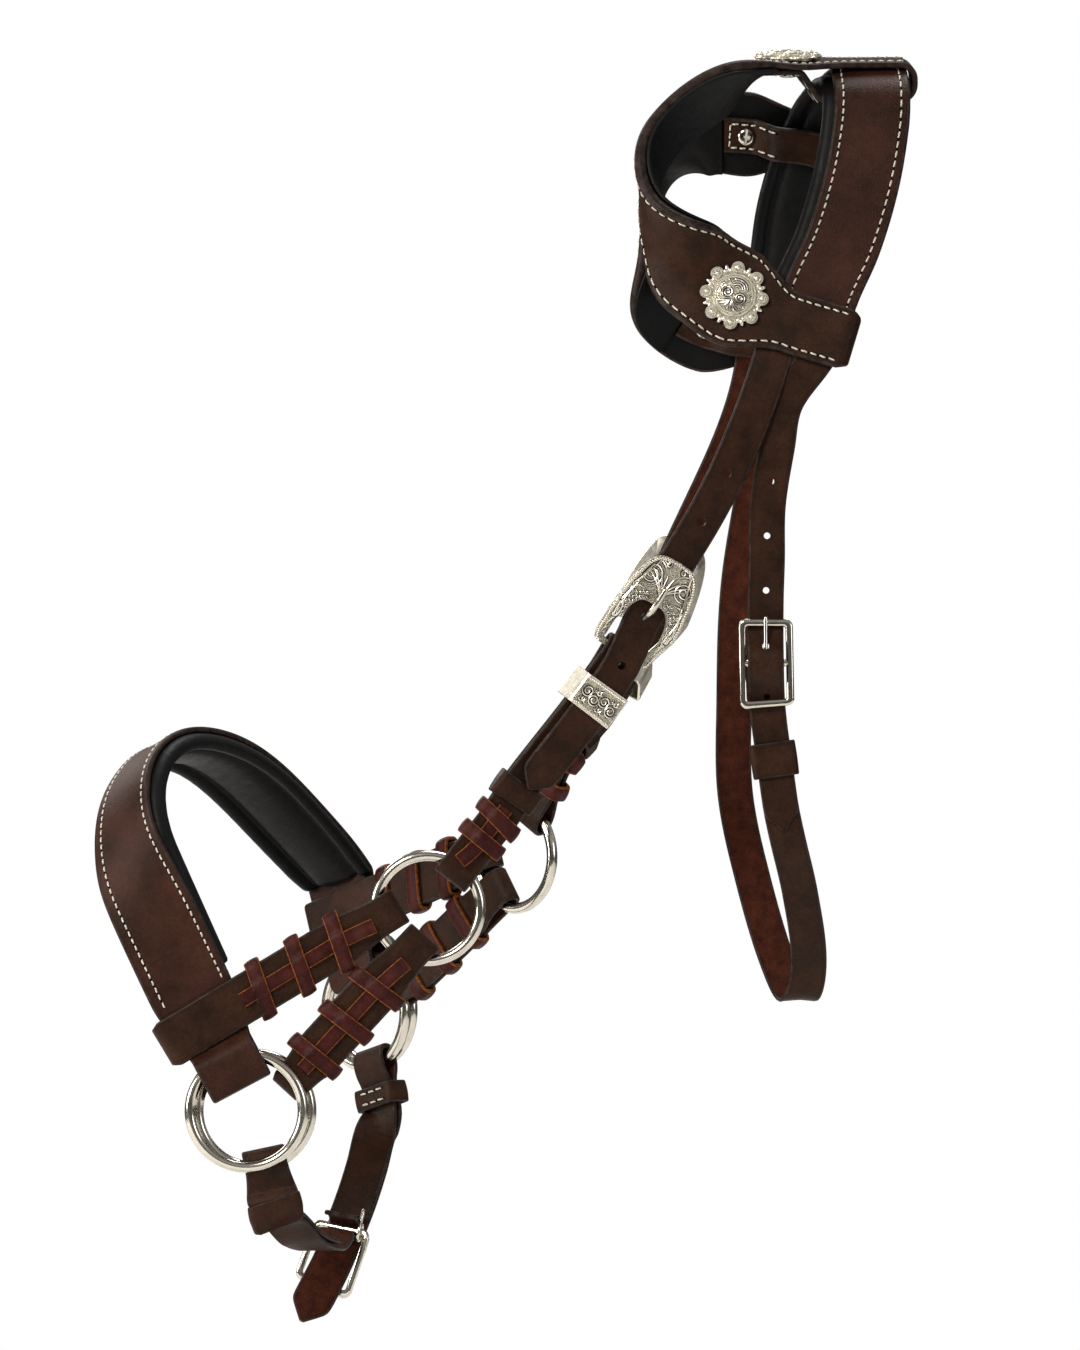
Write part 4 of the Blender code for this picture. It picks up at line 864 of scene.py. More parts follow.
cheek_start = reach_in(ring_radius, cheek_wide / 2) - ply
for side in (near, far):
    path = hairpin(
        cheek_start, heel_at + bar / 2 + slack + ply, wire + slack * 2, bar + slack * 2,
        (cheek_ply_gap + ply) / 2, ply, 30,
    )
    notch = block(
        side.cheek, (heel_at - bar * 1.9, heel_at + bar * 2), bar * 0.6, -bar * 1.6, bar * 1.6
    )
    strap(
        "cheek_piece_" + side.mark, side.cheek, path, ply, cheek_wide, leather_set,
        "cheek_strap_" + side.mark, [notch], True,
    )

# Leather keepers: short loops of the same leather, butted and sewn behind, gripping the
# plies so that the billet can be tucked through.
keeper_thick = 0.0016


def rounded(low_x, high_x, low_y, high_y, corner):
    """Rectangle with rounded corners, anticlockwise."""
    found = []
    for x, y, start in (
        (high_x - corner, high_y - corner, 0), (low_x + corner, high_y - corner, 90),
        (low_x + corner, low_y + corner, 180), (high_x - corner, low_y + corner, 270),
    ):
        found += arc(x, y, corner, start, start + 90, 6)
    return found


def loop_path(half_low, half_high, low, high, thick, corner):
    """Middle of a band's thickness round a strap, in t and h."""
    deep = thick / 2
    return rounded(half_low - deep, half_high + deep, low - deep, high + deep, corner)


def band(name, line, s, long, path, thick, finishes, body, node, slant=0, corner=0.85, bulge=0):
    """Closed band round a strap at s; its path is in t and h and slant leans it."""
    rows = []
    edges = []
    section = cut_section(long / 2, thick, 4, corner)
    for (t, h), (nt, nh) in zip(path, offsets(path, True)):
        row = []
        for a, n, _ in section:
            n += bulge * (1 - (2 * a / long) ** 2)
            row.append(line.put(s + slant * t + a, t - nt * n, h - nh * n))
        rows.append(row)
        edges += [long / 2 - abs(a) for a, _, _ in section]
    thing = make_piece(name, [(rows, True, [2 - kind for _, _, kind in section])], finishes, edges)
    even_light(thing)
    dress(thing, body, node)


def keeper(name, line, s, long, half, low, high, body, node):
    path = loop_path(-half, half, low, high, keeper_thick, keeper_thick * 1.1)
    band(name, line, s, long, path, keeper_thick, leather_set, body, node, bulge=0.0002)


for side, body in ((near, "cheek_keeper_left"), (far, "headstall")):
    high = cheek_ply_gap / 2 + ply + slack
    keeper(
        "cheek_loop_" + side.mark, side.cheek, keeper_at, leather_keeper_long, cheek_wide / 2 + slack,
        -high, high, body, "cheek_keeper_" + side.mark,
    )

# Laces: latigo leather thongs that bind each folded strap. A run lies along the strap, two
# or three turns go round it, and the loose end comes out beside the turn nearest the cheek
# ring, cut square. The skived edges are raw and show orange.
lace_wide = 0.0072
lace_thick = 0.0017
latigo_face = leather_face("oiled_latigo_lace", "2e100e", "4a1f1a", 0.38, 0.9, 0.00018, 9)
raw_latigo = leather_face("raw_latigo_edge", "6a3216", "b3692f", 0.7, 0.7, 0.0003, 1.6)
lace_set = [latigo_face, raw_latigo, latigo_face]


def thong(name, line, spots, node, wide=lace_wide * 0.92):
    """Flat lace along a strap: spots are s, t and h of its middle."""
    spots = soften(spots, False, 3)
    rows = []
    edges = []
    section = cut_section(wide / 2, lace_thick, 4, 0.5)
    for i, (s, t, h) in enumerate(spots):
        before = spots[max(i - 1, 0)]
        after = spots[min(i + 1, len(spots) - 1)]
        spread = Vector((after[0] - before[0], after[1] - before[1]))
        steep = (after[2] - before[2]) / max(spread.length, 1e-6)
        steep = max(min(steep, 1.2), -1.2)
        spread = spread.normalized()
        rows.append([
            line.put(s - spread.y * a - spread.x * n * steep, t + spread.x * a - spread.y * n * steep, h + n)
            for a, n, _ in section
        ])
        edges += [wide / 2 - abs(a) for a, _, _ in section]
    thing = make_piece(name, [(rows, False, [2 - kind for _, _, kind in section])], lace_set, edges)
    even_light(thing)
    dress(thing, "headstall", node)


def lace_up(name, line, turns, half, high, surface, start, tail, slants, node):
    """Lace on one strap: the run under its turns, the turns, and the loose end."""
    lift = lace_thick / 2 + gap
    spots = [(start, 0, surface(start) + lift)]
    for s in turns:
        spots += [(s - lace_wide * 0.8, 0, surface(s - lace_wide * 0.8) + lift), (s, 0, surface(s) + gap)]
        spots += [(s + lace_wide * 0.8, 0, surface(s + lace_wide * 0.8) + lift)]
    spots = sorted(spots, key=lambda spot: spot[0])
    last = min(turns) if start > max(turns) else max(turns)
    spots = [spot for spot in spots if (spot[0] - last) * (last - start) <= 0]
    thong(name + "_run", line, spots, node)
    wall = half + lace_thick / 2
    hump = lace_wide * 0.46
    for k, (s, slant) in enumerate(zip(turns, slants)):
        face = surface(s)
        top = face + lace_thick * 0.95
        over = [(wall, 0), (wall, face * 0.8), (half * 0.86, face + lace_thick * 0.55)]
        over += [(hump * 1.25, face + lace_thick * 0.8), (hump * 0.8, top + lace_thick * 0.6)]
        under = [(half * 0.9, -high - lace_thick / 2), (wall, -high * 0.8)]
        path = over + [(0, top + lace_thick * 0.66)] + [(-t, h) for t, h in over[::-1] + under[::-1]]
        path += [(0, -high - lace_thick * 0.6)] + under
        band(
            name + "_turn_" + str(k + 1), line, s, lace_wide, soften(path, True, 2), lace_thick, lace_set,
            "headstall", node, slant, 0.6, 0.0005,
        )
    thong(name + "_end", line, tail, node, lace_wide * 0.95)


for side in (near, far):
    flip = side.hand
    half = cheek_wide / 2 + slack * (1.5 if flip > 0 else 2.6)
    level = cheek_ply_gap / 2 + ply
    rise = (wire + slack * 2 + ply) / 2
    ring_out = cheek_start + rise + wire

    def cheek_surface(s):
        return ease(s, ((ring_out, rise + ply * 0.62), (ring_out + rise * 2.2, level))) + gap

    first = ring_out + rise * 2.2 + lace_wide * 0.62
    turns = (first, keeper_at - leather_keeper_long / 2 - lace_wide * 1.2)
    top = cheek_surface(first) + lace_thick
    tail = [
        (first + lace_wide * 0.3, 0, top - lace_thick * 0.3),
        (first - lace_wide * 0.6, 0, top + lace_thick * 0.2),
        (ring_out + rise * 1.1, -lace_wide * 0.10 * flip, cheek_surface(ring_out) + lace_thick * 1.2),
        (ring_out + rise * 0.5, -lace_wide * 0.18 * flip, cheek_surface(ring_out) + lace_thick * 1.6),
        (ring_out, -lace_wide * 0.24 * flip, cheek_surface(ring_out) + lace_thick * 1.8),
    ]
    lace_up(
        "cheek_thong_" + side.mark, side.cheek, turns, half, level + slack, cheek_surface,
        turns[1] + lace_wide * 0.3, tail, (-0.02, -0.15), "cheek_lace_" + side.mark,
    )

# Connectors: two straps a side, each folded round the cheek ring at the top. The front one
# folds round the noseband, the rear one round the lower ring, and lace binds them shut.
connector_wide = 0.0215
connector_end_wide = 0.0168
noseband_wide = 0.0375
noseband_end_wide = 0.0285
noseband_thick = 0.0026


def build_connector(side, front):
    mark = side.mark
    flip = side.hand
    line = side.front if front else side.rear
    kind = "front" if front else "rear"
    offset = front_offset if front else rear_offset
    start = reach_in(ring_radius, offset + connector_end_wide / 2) - ply
    mid = (ply_gap + ply) / 2
    if front:
        end = front_run + noseband_wide / 2 + slack * 2 + ply
        opening = noseband_thick * 2 + ply_gap + slack * 2
        flat = noseband_wide + slack * 4
    else:
        end = rear_run - reach_in(lower_radius, connector_end_wide / 2 + rear_miss) + ply
        opening = wire + slack * 2
        flat = 0
    a = wire / 2 + slack + ply / 2
    b = opening / 2 + ply / 2
    lead = a * 2.4
    first = start + a + wire * 1.9
    final = end - b - (flat if flat else wire * 1.9)
    path = arc(start + a, 0, a, 90, 270, 8) + [(first, -a), (first + lead, -mid)]
    middle = stretch(first + lead, final - b * 0.9, 8)
    path += [(s, -mid) for s in middle[1:]] + [(final, -b)]
    if front:
        path += [(s, -b) for s in stretch(final, end - b, 5)[1:-1]]
    path += arc(end - b, 0, b, -90, 90, 8)
    if front:
        path += [(s, b) for s in stretch(end - b, final, 5)[1:-1]]
    path += [(final, b)] + [(s, mid) for s in middle[::-1]] + [(first, a)]
    full = first + lead
    narrow = connector_wide if front else connector_end_wide

    def wide(s):
        return ease(s, (
            (start + wire * 2, connector_end_wide), (full + wire * 1.4, connector_wide),
            (end - wire * 4, connector_wide), (end - wire * 2, narrow), (end - b * 0.6, narrow),
            (end, narrow * 0.86),
        ))

    strap(
        kind + "_link_" + mark, line, path, ply, wide, leather_set, kind + "_connector_" + mark, folded=True
    )

    def surface(s):
        return ease(s, (
            (first, a + ply * 0.62), (full, mid + ply / 2), (final - b * 0.9, mid + ply / 2),
            (final, b + ply / 2),
        ))

    turns = stretch(full + lace_wide * 1.08, final - b * (0.3 if front else 0.6) - lace_wide * 0.5, 2)
    slip = lace_wide * 0.22 * flip
    top = surface(turns[0]) + lace_thick
    tail = [
        (turns[0] + lace_wide * 0.3, 0, top - lace_thick * 0.3),
        (turns[0] - lace_wide * 0.5, -slip * 0.2, top + gap),
        (full - lace_wide * 0.2, -slip * 0.5, top + lace_thick * 0.5),
        (full - lace_wide * 0.7, -slip * 0.8, surface(full - lace_wide) + lace_thick * 1.5),
        (full - lace_wide * 1.3, -slip * 1.1, surface(full - lace_wide) + lace_thick * 1.9),
    ]
    slants = (-0.21 * flip, -0.2 * flip, -0.2 * flip) if front else (0.1 * flip, 0.09 * flip, 0.06 * flip)
    lace_up(
        kind + "_thong_" + mark, line, turns, connector_wide / 2 + slack, ply_gap / 2 + ply + gap, surface,
        turns[2] + lace_wide * (1.35 if front else 1.1), tail, slants, kind + "_lace_" + mark,
    )


for side in (near, far):
    build_connector(side, True)
    build_connector(side, False)

# Noseband: one wide padded strap over the nose, stitched along both edges. Each end is
# narrowed, carried through the loop of the front connector and folded back round both
# lower rings.
noseband_pad = 0.0080
noseband_spots = (
    (-310.2, -58, -370.0), (-318.6, -57, -352.4), (-324.7, -52, -337.0), (-326.9, -41, -313.7),
    (-319.0, -24, -296.1),
    (-303.2, -4, -287.3), (-282.9, 24, -296.1), (-264.4, 48, -314.6), (-246.0, 66, -335.7)
)
noseband_sides = (
    (0.87, -0.05, 0.47), (0.84, -0.25, 0.42), (0.72, -0.66, 0.2), (0.5, -0.86, 0.06), (0.2, -0.97, 0.1),
    (0.08, -0.99, 0.12), (0.45, -0.78, 0.42), (0.6, -0.62, 0.5), (0.66, -0.62, 0.42)
)
ahead = (near.crossing - near.low_hub).normalized()
across = ahead.cross(near.out)
stops = [(near.crossing, across, ahead), (near.crossing + ahead * noseband_wide * 0.45, across, ahead)]
stops += [(spot, Vector(side)) for spot, side in zip(metres(noseband_spots), noseband_sides)]
back = (far.low_hub - far.crossing).normalized()
across = back.cross(far.out)
stops += [(far.crossing - back * noseband_wide * 0.45, across, back), (far.crossing, across, back)]
nose_line = Line(stops, 14, 150)
ring_depth = (near.low_hub - near.crossing).length
inner_drop = wire / 2 + slack + noseband_thick / 2
outer_rise = rein_ring_rise + wire / 2 + slack + noseband_thick / 2
nose_mid = (ply_gap + noseband_thick) / 2
fold_end = ring_depth - reach_in(lower_radius, noseband_end_wide / 2 + ring_shift * 0.9)
edge_end = connector_wide / 2 + slack * 3
open_at = ring_depth - lower_radius - wire / 2 - ring_shift * 0.6 - slack


def nose_end(sign, zero):
    """Points of one folded end, from the inner ply round the rings to the outer ply."""
    turn = noseband_thick * 0.62
    points = [
        (-noseband_wide * 0.42, -nose_mid), (edge_end - noseband_wide * 0.3, -nose_mid),
        (edge_end, -nose_mid),
        (open_at, -inner_drop), ((open_at + fold_end) / 2, -inner_drop), (fold_end - turn, -inner_drop),
        (fold_end + turn * 0.3, -inner_drop + turn * 0.5), (fold_end + turn, -inner_drop + turn * 1.7),
        (fold_end + turn, outer_rise - turn * 1.7), (fold_end + turn * 0.3, outer_rise - turn * 0.5),
        (fold_end - turn, outer_rise), ((open_at + fold_end) / 2, outer_rise), (open_at, outer_rise),
        (edge_end, nose_mid),
    ]
    return [(zero - sign * s, h) for s, h in points]


def nose_wide(s):
    return ease(
        min(s, nose_line.long - s),
        ((-open_at, noseband_end_wide), (0, noseband_wide * 0.93), (noseband_wide * 0.45, noseband_wide)),
    )


path = nose_end(1, 0) + [(s, nose_mid) for s in stretch(0, nose_line.long, 64)]
path += nose_end(-1, nose_line.long)[::-1]
strap(
    "nose_strap", nose_line, path, noseband_thick, nose_wide, [crown_leather, burnished_edge_painted_highlight, flesh_leather],
    "noseband",
)
nose_top = nose_mid + noseband_thick / 2
nose_seam_in = 0.0044
nose_seam_shift = 0.0008
nose_pitch = 0.0034
sew(
    "nose_stitching",
    [
        (nose_line, noseband_wide * 0.36, nose_line.long - noseband_wide * 0.36,
         lambda s, k=k: k * (nose_wide(s) / 2 - nose_seam_in + k * nose_seam_shift), lambda s: nose_top, 1)
        for k in (-1, 1)
    ],
    nose_pitch,
)
padded_lining(
    "nose_cushion", nose_line, noseband_wide * 0.5, nose_line.long - noseband_wide * 0.34,
    noseband_wide * 0.94, noseband_thick / 2 + gap - nose_mid, noseband_pad, 760, noseband_wide * 0.042,
    "noseband_lining",
)

# Ear loops: a shaped band of harness leather round each ear, lined with chap leather and
# stitched near both edges. Each end folds round the rear edge of the crown and comes back
# as a narrow tab, which a concho screw pins to the band.
ear_wide = 0.0390
ear_waist = 0.024
near_wide = 0.0455
near_end_wide = 0.0275
rim_from = 0.060
ear_end_wide = 0.0225
ear_tab_wide = 0.0160
ear_thick = 0.0028
ear_rim = 0.0056
ear_lining_thick = 0.0016
ear_seam_in = 0.0030
tab_seam_in = 0.0026
concho_across = 0.0300
screw_across = 0.0074
screw_rise = 0.0014
post_across = 0.0040
concho_from_crown = 0.0342
tab_over = 0.0095
ear_lift = crown_thick / 2 + slack * 1.6 + ear_thick / 2
tab_flat = -ear_thick - slack * 0.6
plain_deep = -ear_lift - crown_thick / 2 - slack * 3 - ear_thick / 2
padded_deep = plain_deep - gap - crown_pad - slack * 2.5
near_ear_spots = (
    (-55.9, -57, -94.2), (-72.6, -58, -83.2), (-85.4, -56, -72.2), (-94.6, -53, -60.7), (-98.6, -49, -48.4),
    (-98.1, -44, -35.2), (-92.4, -38, -22.9), (-79.6, -30, -10.1), (-62.0, -22, 0.9),
    (-45.3, -16, 6.6), (-28.6, -12, 10.1)
)
near_ear_sides = (
    (0.36, 0, 0.93), (0.34, -0.15, 0.92), (0.3, -0.6, 0.72), (0.2, -0.8, 0.55), (0.0, -0.95, 0.3),
    (-0.32, -0.9, 0.26), (-0.5, -0.75, 0.42), (-0.38, -0.75, 0.54), (-0.16, -0.86, 0.4),
    (-0.04, -0.98, 0.08),
    (0, -0.97, -0.22)
)
far_ear_spots = (
    (-70.0, 56, -106.0), (-84.9, 57, -97.7), (-94.6, 53, -78.3), (-96.8, 47, -54.6),
    (-92.4, 42, -35.6), (-81.4, 38, -23.3),
    (-67.3, 36, -18.0), (-51.5, 35, -19.4)
)
far_ear_sides = (
    (0, 0, -1), (-0.6, 0, -0.8), (-0.3, -0.8, -0.3), (0.05, -0.98, 0), (-0.2, -0.9, 0.3),
    (-0.5, -0.5, 0.6), (-0.2, 0, 0.98), (0, 0, 1)
)


def ear_end(sign, zero, deep, wide):
    """One end as s, h and width: returned tab, fold round the crown's rear edge, band."""
    clear = crown_wide / 2 * 1.06 + slack
    fall_run = (concho_from_crown - post_across * 1.2) - clear
    points = [(concho_from_crown + tab_over, tab_flat), (concho_from_crown, tab_flat)]
    points += [(concho_from_crown - post_across * 1.2, tab_flat)]
    points += [(clear + fall_run * 0.5, (tab_flat + deep) * 0.5), (clear, deep), (clear * 0.4, deep)]
    points += [(-clear * 0.4, deep)]
    found = [(zero + sign * x, h, ear_tab_wide) for x, h in points]
    tight = -deep * 0.42 if deep < plain_deep * 1.2 else ear_thick * 1.3
    wall = -crown_wide / 2 - slack - ear_thick / 2 + tight * 0.86
    turn = arc(wall, deep + tight, tight, 270, 180, 6) + arc(wall, -tight, tight, 180, 90, 6)
    for k, (x, h) in enumerate(turn):
        found.append((zero + sign * x, h, ear_tab_wide + (wide - ear_tab_wide) * k / 13))
    return found


def ear_line(shares, sides, low_s, high_s):
    """Line of an ear loop; near both ends it lies flat in the plane of the crown."""
    spot, way, across, out = crown.at(low_s)
    start = spot + out * ear_lift
    end_spot, end_way, end_across, end_out = crown.at(high_s)
    end = end_spot + end_out * ear_lift
    stops = [(one, Vector(two)) for one, two in zip(metres(shares), sides)]
    for i, base, normal in ((0, start, out), (1, start, out), (-2, end, end_out), (-1, end, end_out)):
        one, two = stops[i]
        stops[i] = (one - normal * (one - base).dot(normal), two - normal * two.dot(normal))
    return Line([(start, way, -across)] + stops + [(end, -end_way, end_across)], 14, 90)


low_s = crown.near(*metres([(-26.0, -53, -106.9)]))
near.ear = ear_line(near_ear_spots, near_ear_sides, low_s, crown.near(*metres([(0.4, -8, 7.0)])))
far.ear = ear_line(
    far_ear_spots, far_ear_sides, crown.long - low_s, crown.near(*metres([(-17.2, 31, -24.6)]))
)


def build_ear(side):
    line = side.ear

    def band_wide(s):
        ends, full = ear_end_wide, ear_wide
        if side is near and s < line.long / 2:
            ends, full = near_end_wide, near_wide
        return ease(min(s, line.long - s), (
            (crown_wide * 0.2, ends), (concho_from_crown, full), (concho_from_crown * 1.5, full * 0.95),
            (line.long * 0.45, ear_waist),
        ))

    def band_thick(s):
        return ease(min(s, line.long - s), ((concho_from_crown + tab_over, ear_thick), (rim_from, ear_rim)))

    path = ear_end(1, 0, plain_deep, band_wide(0))
    path += [
        (s, (ear_thick - band_thick(s)) / 2, band_wide(s), band_thick(s)) for s in stretch(0, line.long, 56)
    ]
    path += ear_end(-1, line.long, padded_deep, ear_end_wide)[::-1]
    holes = [
        punch(line, s, 0, tab_flat - ear_thick, ear_thick, post_across / 2 + slack / 2)
        for s in (concho_from_crown, line.long - concho_from_crown)
    ]
    strap(
        "ear_band_" + side.mark, line, path, ear_thick, 0, [harness_leather, burnished_edge_painted_highlight, chap_leather],
        "ear_loop_" + side.mark, holes,
    )
    begin = concho_from_crown + tab_over + slack * 2
    path = [
        (s, ear_thick / 2 - band_thick(s) - gap * 1.6 - ear_lining_thick / 2, band_wide(s) - slack)
        for s in stretch(begin, line.long - begin, 50)
    ]
    strap(
        "ear_skin_" + side.mark, line, path, ear_lining_thick * 1.2, 0, [chap_leather] * 3,
        "ear_lining_" + side.mark,
    )
    face = ear_thick / 2
    runs = [
        (line, -crown_wide * 0.46, line.long + crown_wide * 0.46,
         lambda s, k=k: k * (band_wide(s) / 2 - ear_seam_in), lambda s: face, 1)
        for k in (-1, 1)
    ]
    tab_half = ear_tab_wide / 2 - tab_seam_in
    tab_end = line.long - concho_from_crown - tab_over + 0.0024
    runs += [
        (line, tab_end, line.long - crown_wide * 0.56, lambda s, k=k: k * tab_half,
         lambda s: tab_level(line.long - s), -1)
        for k in (-1, 1)
    ]
    runs.append((
        cross_line(line, tab_end, tab_half), 0, tab_half * 2, lambda s: 0,
        lambda s: face - tab_flat, 1,
    ))
    sew("ear_stitching_" + side.mark, runs)


def cross_line(line, s, half):
    """Line across a strap at s, from one side to the other."""
    _, way, across, _ = line.at(s)
    return Line([(line.put(s, t, 0), way, across) for t in (-half, half)], 4)


def tab_level(x):
    """Height of the upper tab's outer face at a distance from the crown crossing."""
    deep = padded_deep
    clear = crown_wide / 2 * 1.06 + slack
    fall_run = (concho_from_crown - post_across * 1.2) - clear
    points = ((clear, deep), (clear + fall_run * 0.5, (tab_flat + deep) * 0.5), (clear + fall_run, tab_flat))
    level = points[-1][1]
    if x <= points[0][0]:
        level = deep
    steep = 1
    for (a, u), (b, v) in zip(points, points[1:]):
        if a < x <= b:
            level = u + (v - u) * (x - a) / (b - a)
            steep = math.hypot(1, (v - u) / (b - a))
    return level - ear_thick / 2 * steep


build_ear(near)
build_ear(far)

# Conchos: cast and engraved silver-plated rosettes, eight berries round a domed centre with
# small leaves between them, darkened in the cuts. A slotted screw holds each from behind.
concho_rise = 0.0042


def engraved_silver(name, bright, dark, rough):
    """Silver plate cut by hand: bright on its ridges, antiqued dark in the engraved lines."""
    made, tree, output = new_material(name)
    spot = add_node(tree, "ShaderNodeTexCoord", {}).outputs["Object"]
    curl = add_node(
        tree, "ShaderNodeTexNoise", {"Scale": 420.0, "Detail": 2.0, "Distortion": 3.2}, Vector=spot
    )
    cuts = add_node(tree, "ShaderNodeMath", {"operation": "PINGPONG", 1: 0.07}, _0=curl.outputs["Fac"])
    cut_depth = remap(tree, cuts.outputs[0], 0.0, 1.0, 0.0, 0.05)
    end_material(
        tree, output, {"Metallic": 1.0}, ramp(tree, cut_depth, dark, bright, 0.0, 0.55),
        remap(tree, cut_depth, rough + 0.25, rough), cut_depth, 0.8, 0.00035,
    )
    return made


# Ground of the engraving: shallow scratched background, antiqued grey.
silver_ground = engraved_silver("antiqued_silver_ground", "e4ddca", "423b2f", 0.36)
# Raised silver: scroll ridges, berries and rope borders, rubbed bright.
silver_ridge = plated_metal("rubbed_silver_ridge", "fbf7ec", "e6decc", 0.30, 1.5)
# Blackened silver: the oxidised lines beside each ridge, left dark when the plate was buffed.
silver_black = plated_metal("oxidised_silver_line", "3a3226", "1c1812", 0.5, 1.0)
# Plain silver: the smooth sides and backs of the plates.
silver_plain = plated_metal("plain_silver_plate", "f4eee1", "e0d8c7", 0.38, 2.5)


def ridge(spots, normals, radius, rise):
    """Rows of a round ridge along points; the radius fades towards both ends."""
    rows = []
    for i, (spot, out) in enumerate(zip(spots, normals)):
        way = (spots[min(i + 1, len(spots) - 1)] - spots[max(i - 1, 0)]).normalized()
        share = i / (len(spots) - 1)
        size = radius * (0.35 + 0.65 * min(1, 5 * share, 5 * (1 - share)))
        rows.append(circle(spot, way.cross(out).normalized(), out * rise, size, 7))
    return rows


def engrave(parts, spots, normals, size):
    """One cut scroll: a bright ridge in a wider line that is blackened."""
    parts.append((ridge(spots, normals, size * 2.1, 0.16), False, 2))
    parts.append((ridge(spots, normals, size, 1.0), False, 1))


def bead(spot, out, side, radius, squash=1.0, stretch_by=1.0):
    """Rows of a small ball or leaf standing on a surface."""
    rows = []
    for k in range(1, 8):
        a = math.pi * k / 8
        middle = spot + out * (radius * squash * math.cos(a))
        rows.append(circle(middle, side * stretch_by, out.cross(side), radius * math.sin(a), 10))
    return rows


def hoop(centre, side, up, radius, tube):
    """Rows of a thin ring lying on a surface."""
    rows = []
    for j in range(28):
        a = 2 * math.pi * j / 28
        way = side * math.cos(a) + up * math.sin(a)
        rows.append(circle(centre + way * radius, way, side.cross(up), tube, 6))
    return rows


def volute(centre_x, centre_y, radius, turns, start, hand, steps=26):
    """Scroll that winds inwards, as x and y."""
    found = []
    for k in range(steps + 1):
        share = k / steps
        a = start + hand * turns * 2 * math.pi * share
        size = radius * (1 - 0.86 * share)
        found.append((centre_x + size * math.cos(a), centre_y + size * math.sin(a)))
    return found


def build_concho(name, spot, out, side, node):
    """Rosette from its backing disc, rope ring, dome, scrolls, berries and leaves."""
    up = out.cross(side)
    radius = concho_across / 2

    def place(x, y, h):
        return spot + side * x + up * y + out * h

    def dome_height(x, y):
        return concho_rise * ease(
            math.hypot(x, y) / radius, ((0.08, 0.92), (0.2, 0.90), (0.34, 0.84), (0.46, 0.74), (0.55, 0.64))
        )

    def toward(a):
        return side * math.cos(a) + up * math.sin(a)

    parts = []
    profile = ((0.10, 0.0), (0.78, 0.0), (0.83, 0.06), (0.83, 0.22), (0.77, 0.32), (0.67, 0.34), (0.63, 0.46))
    profile += ((0.60, 0.62), (0.55, 0.64), (0.46, 0.74), (0.34, 0.84), (0.2, 0.90), (0.08, 0.92))
    parts.append((
        [circle(spot + out * (concho_rise * high), side, up, radius * share, 48) for share, high in profile],
        False, 0,
    ))
    for k in range(8):
        a = 2 * math.pi * (k + 0.5) / 8
        middle = spot + toward(a) * (radius * 0.82) + out * (concho_rise * 0.26)
        parts.append((bead(middle, out, toward(a), radius * 0.182, 0.62), False, 0))
        parts.append((hoop(middle + out * (concho_rise * 0.27), side, up, radius * 0.128, 0.00034), True, 1))
        parts.append((hoop(middle + out * (concho_rise * 0.05), side, up, radius * 0.178, 0.00036), True, 1))
        berry_top = middle + out * (concho_rise * 0.36)
        parts.append((bead(berry_top, out, toward(a), radius * 0.062), False, 1))
        a = 2 * math.pi * k / 8
        for lean, reach, wide, longer in (
            (0, 0.83, 0.06, 2.0), (-0.11, 0.755, 0.048, 1.7), (0.11, 0.755, 0.048, 1.7)
        ):
            leaf = spot + toward(a + lean) * (radius * reach) + out * (concho_rise * 0.26)
            parts.append((bead(leaf, out, toward(a + lean * 2.5), radius * wide, 0.9, longer), False, 1))
    parts.append((hoop(spot + out * (concho_rise * 0.52), side, up, radius * 0.615, 0.00048), True, 1))
    parts.append((hoop(spot + out * (concho_rise * 0.68), side, up, radius * 0.54, 0.00028), True, 1))
    curls = []
    for hand in (-1, 1):
        curls.append(volute(
            radius * 0.2 * hand, radius * 0.03, radius * 0.19, 2.1, 1.57 + 0.9 * hand, -hand, 40
        ))
        for lean in (0.25, 0.62, 1.0):
            curls.append([
                (hand * radius * (0.03 + lean * r * r * 0.42), radius * (0.16 + r * (0.36 - 0.12 * lean)))
                for r in stretch(0.1, 1, 6)
            ])
    for reach in (0.09, 0.16, 0.23, 0.30):
        curls.append([
            (radius * reach * math.cos(a), radius * (reach * math.sin(a) - 0.17))
            for a in stretch(3.5, 5.9, 12)
        ])
    for k in range(16):
        a = 2 * math.pi * k / 16
        curls.append([
            (radius * r * math.cos(a + bend), radius * r * math.sin(a + bend))
            for r, bend in ((0.42, 0.0), (0.46, 0.03), (0.50, 0.10))
        ])
    for curl in curls:
        spots = [place(x, y, dome_height(x, y) + 0.00005) for x, y in curl]
        normals = [(out + (side * x + up * y) * 12).normalized() for x, y in curl]
        engrave(parts, spots, normals, 0.00030)
    thing = make_piece(name, parts, [silver_ground, silver_ridge, silver_black])
    dress(thing, "headstall", node)


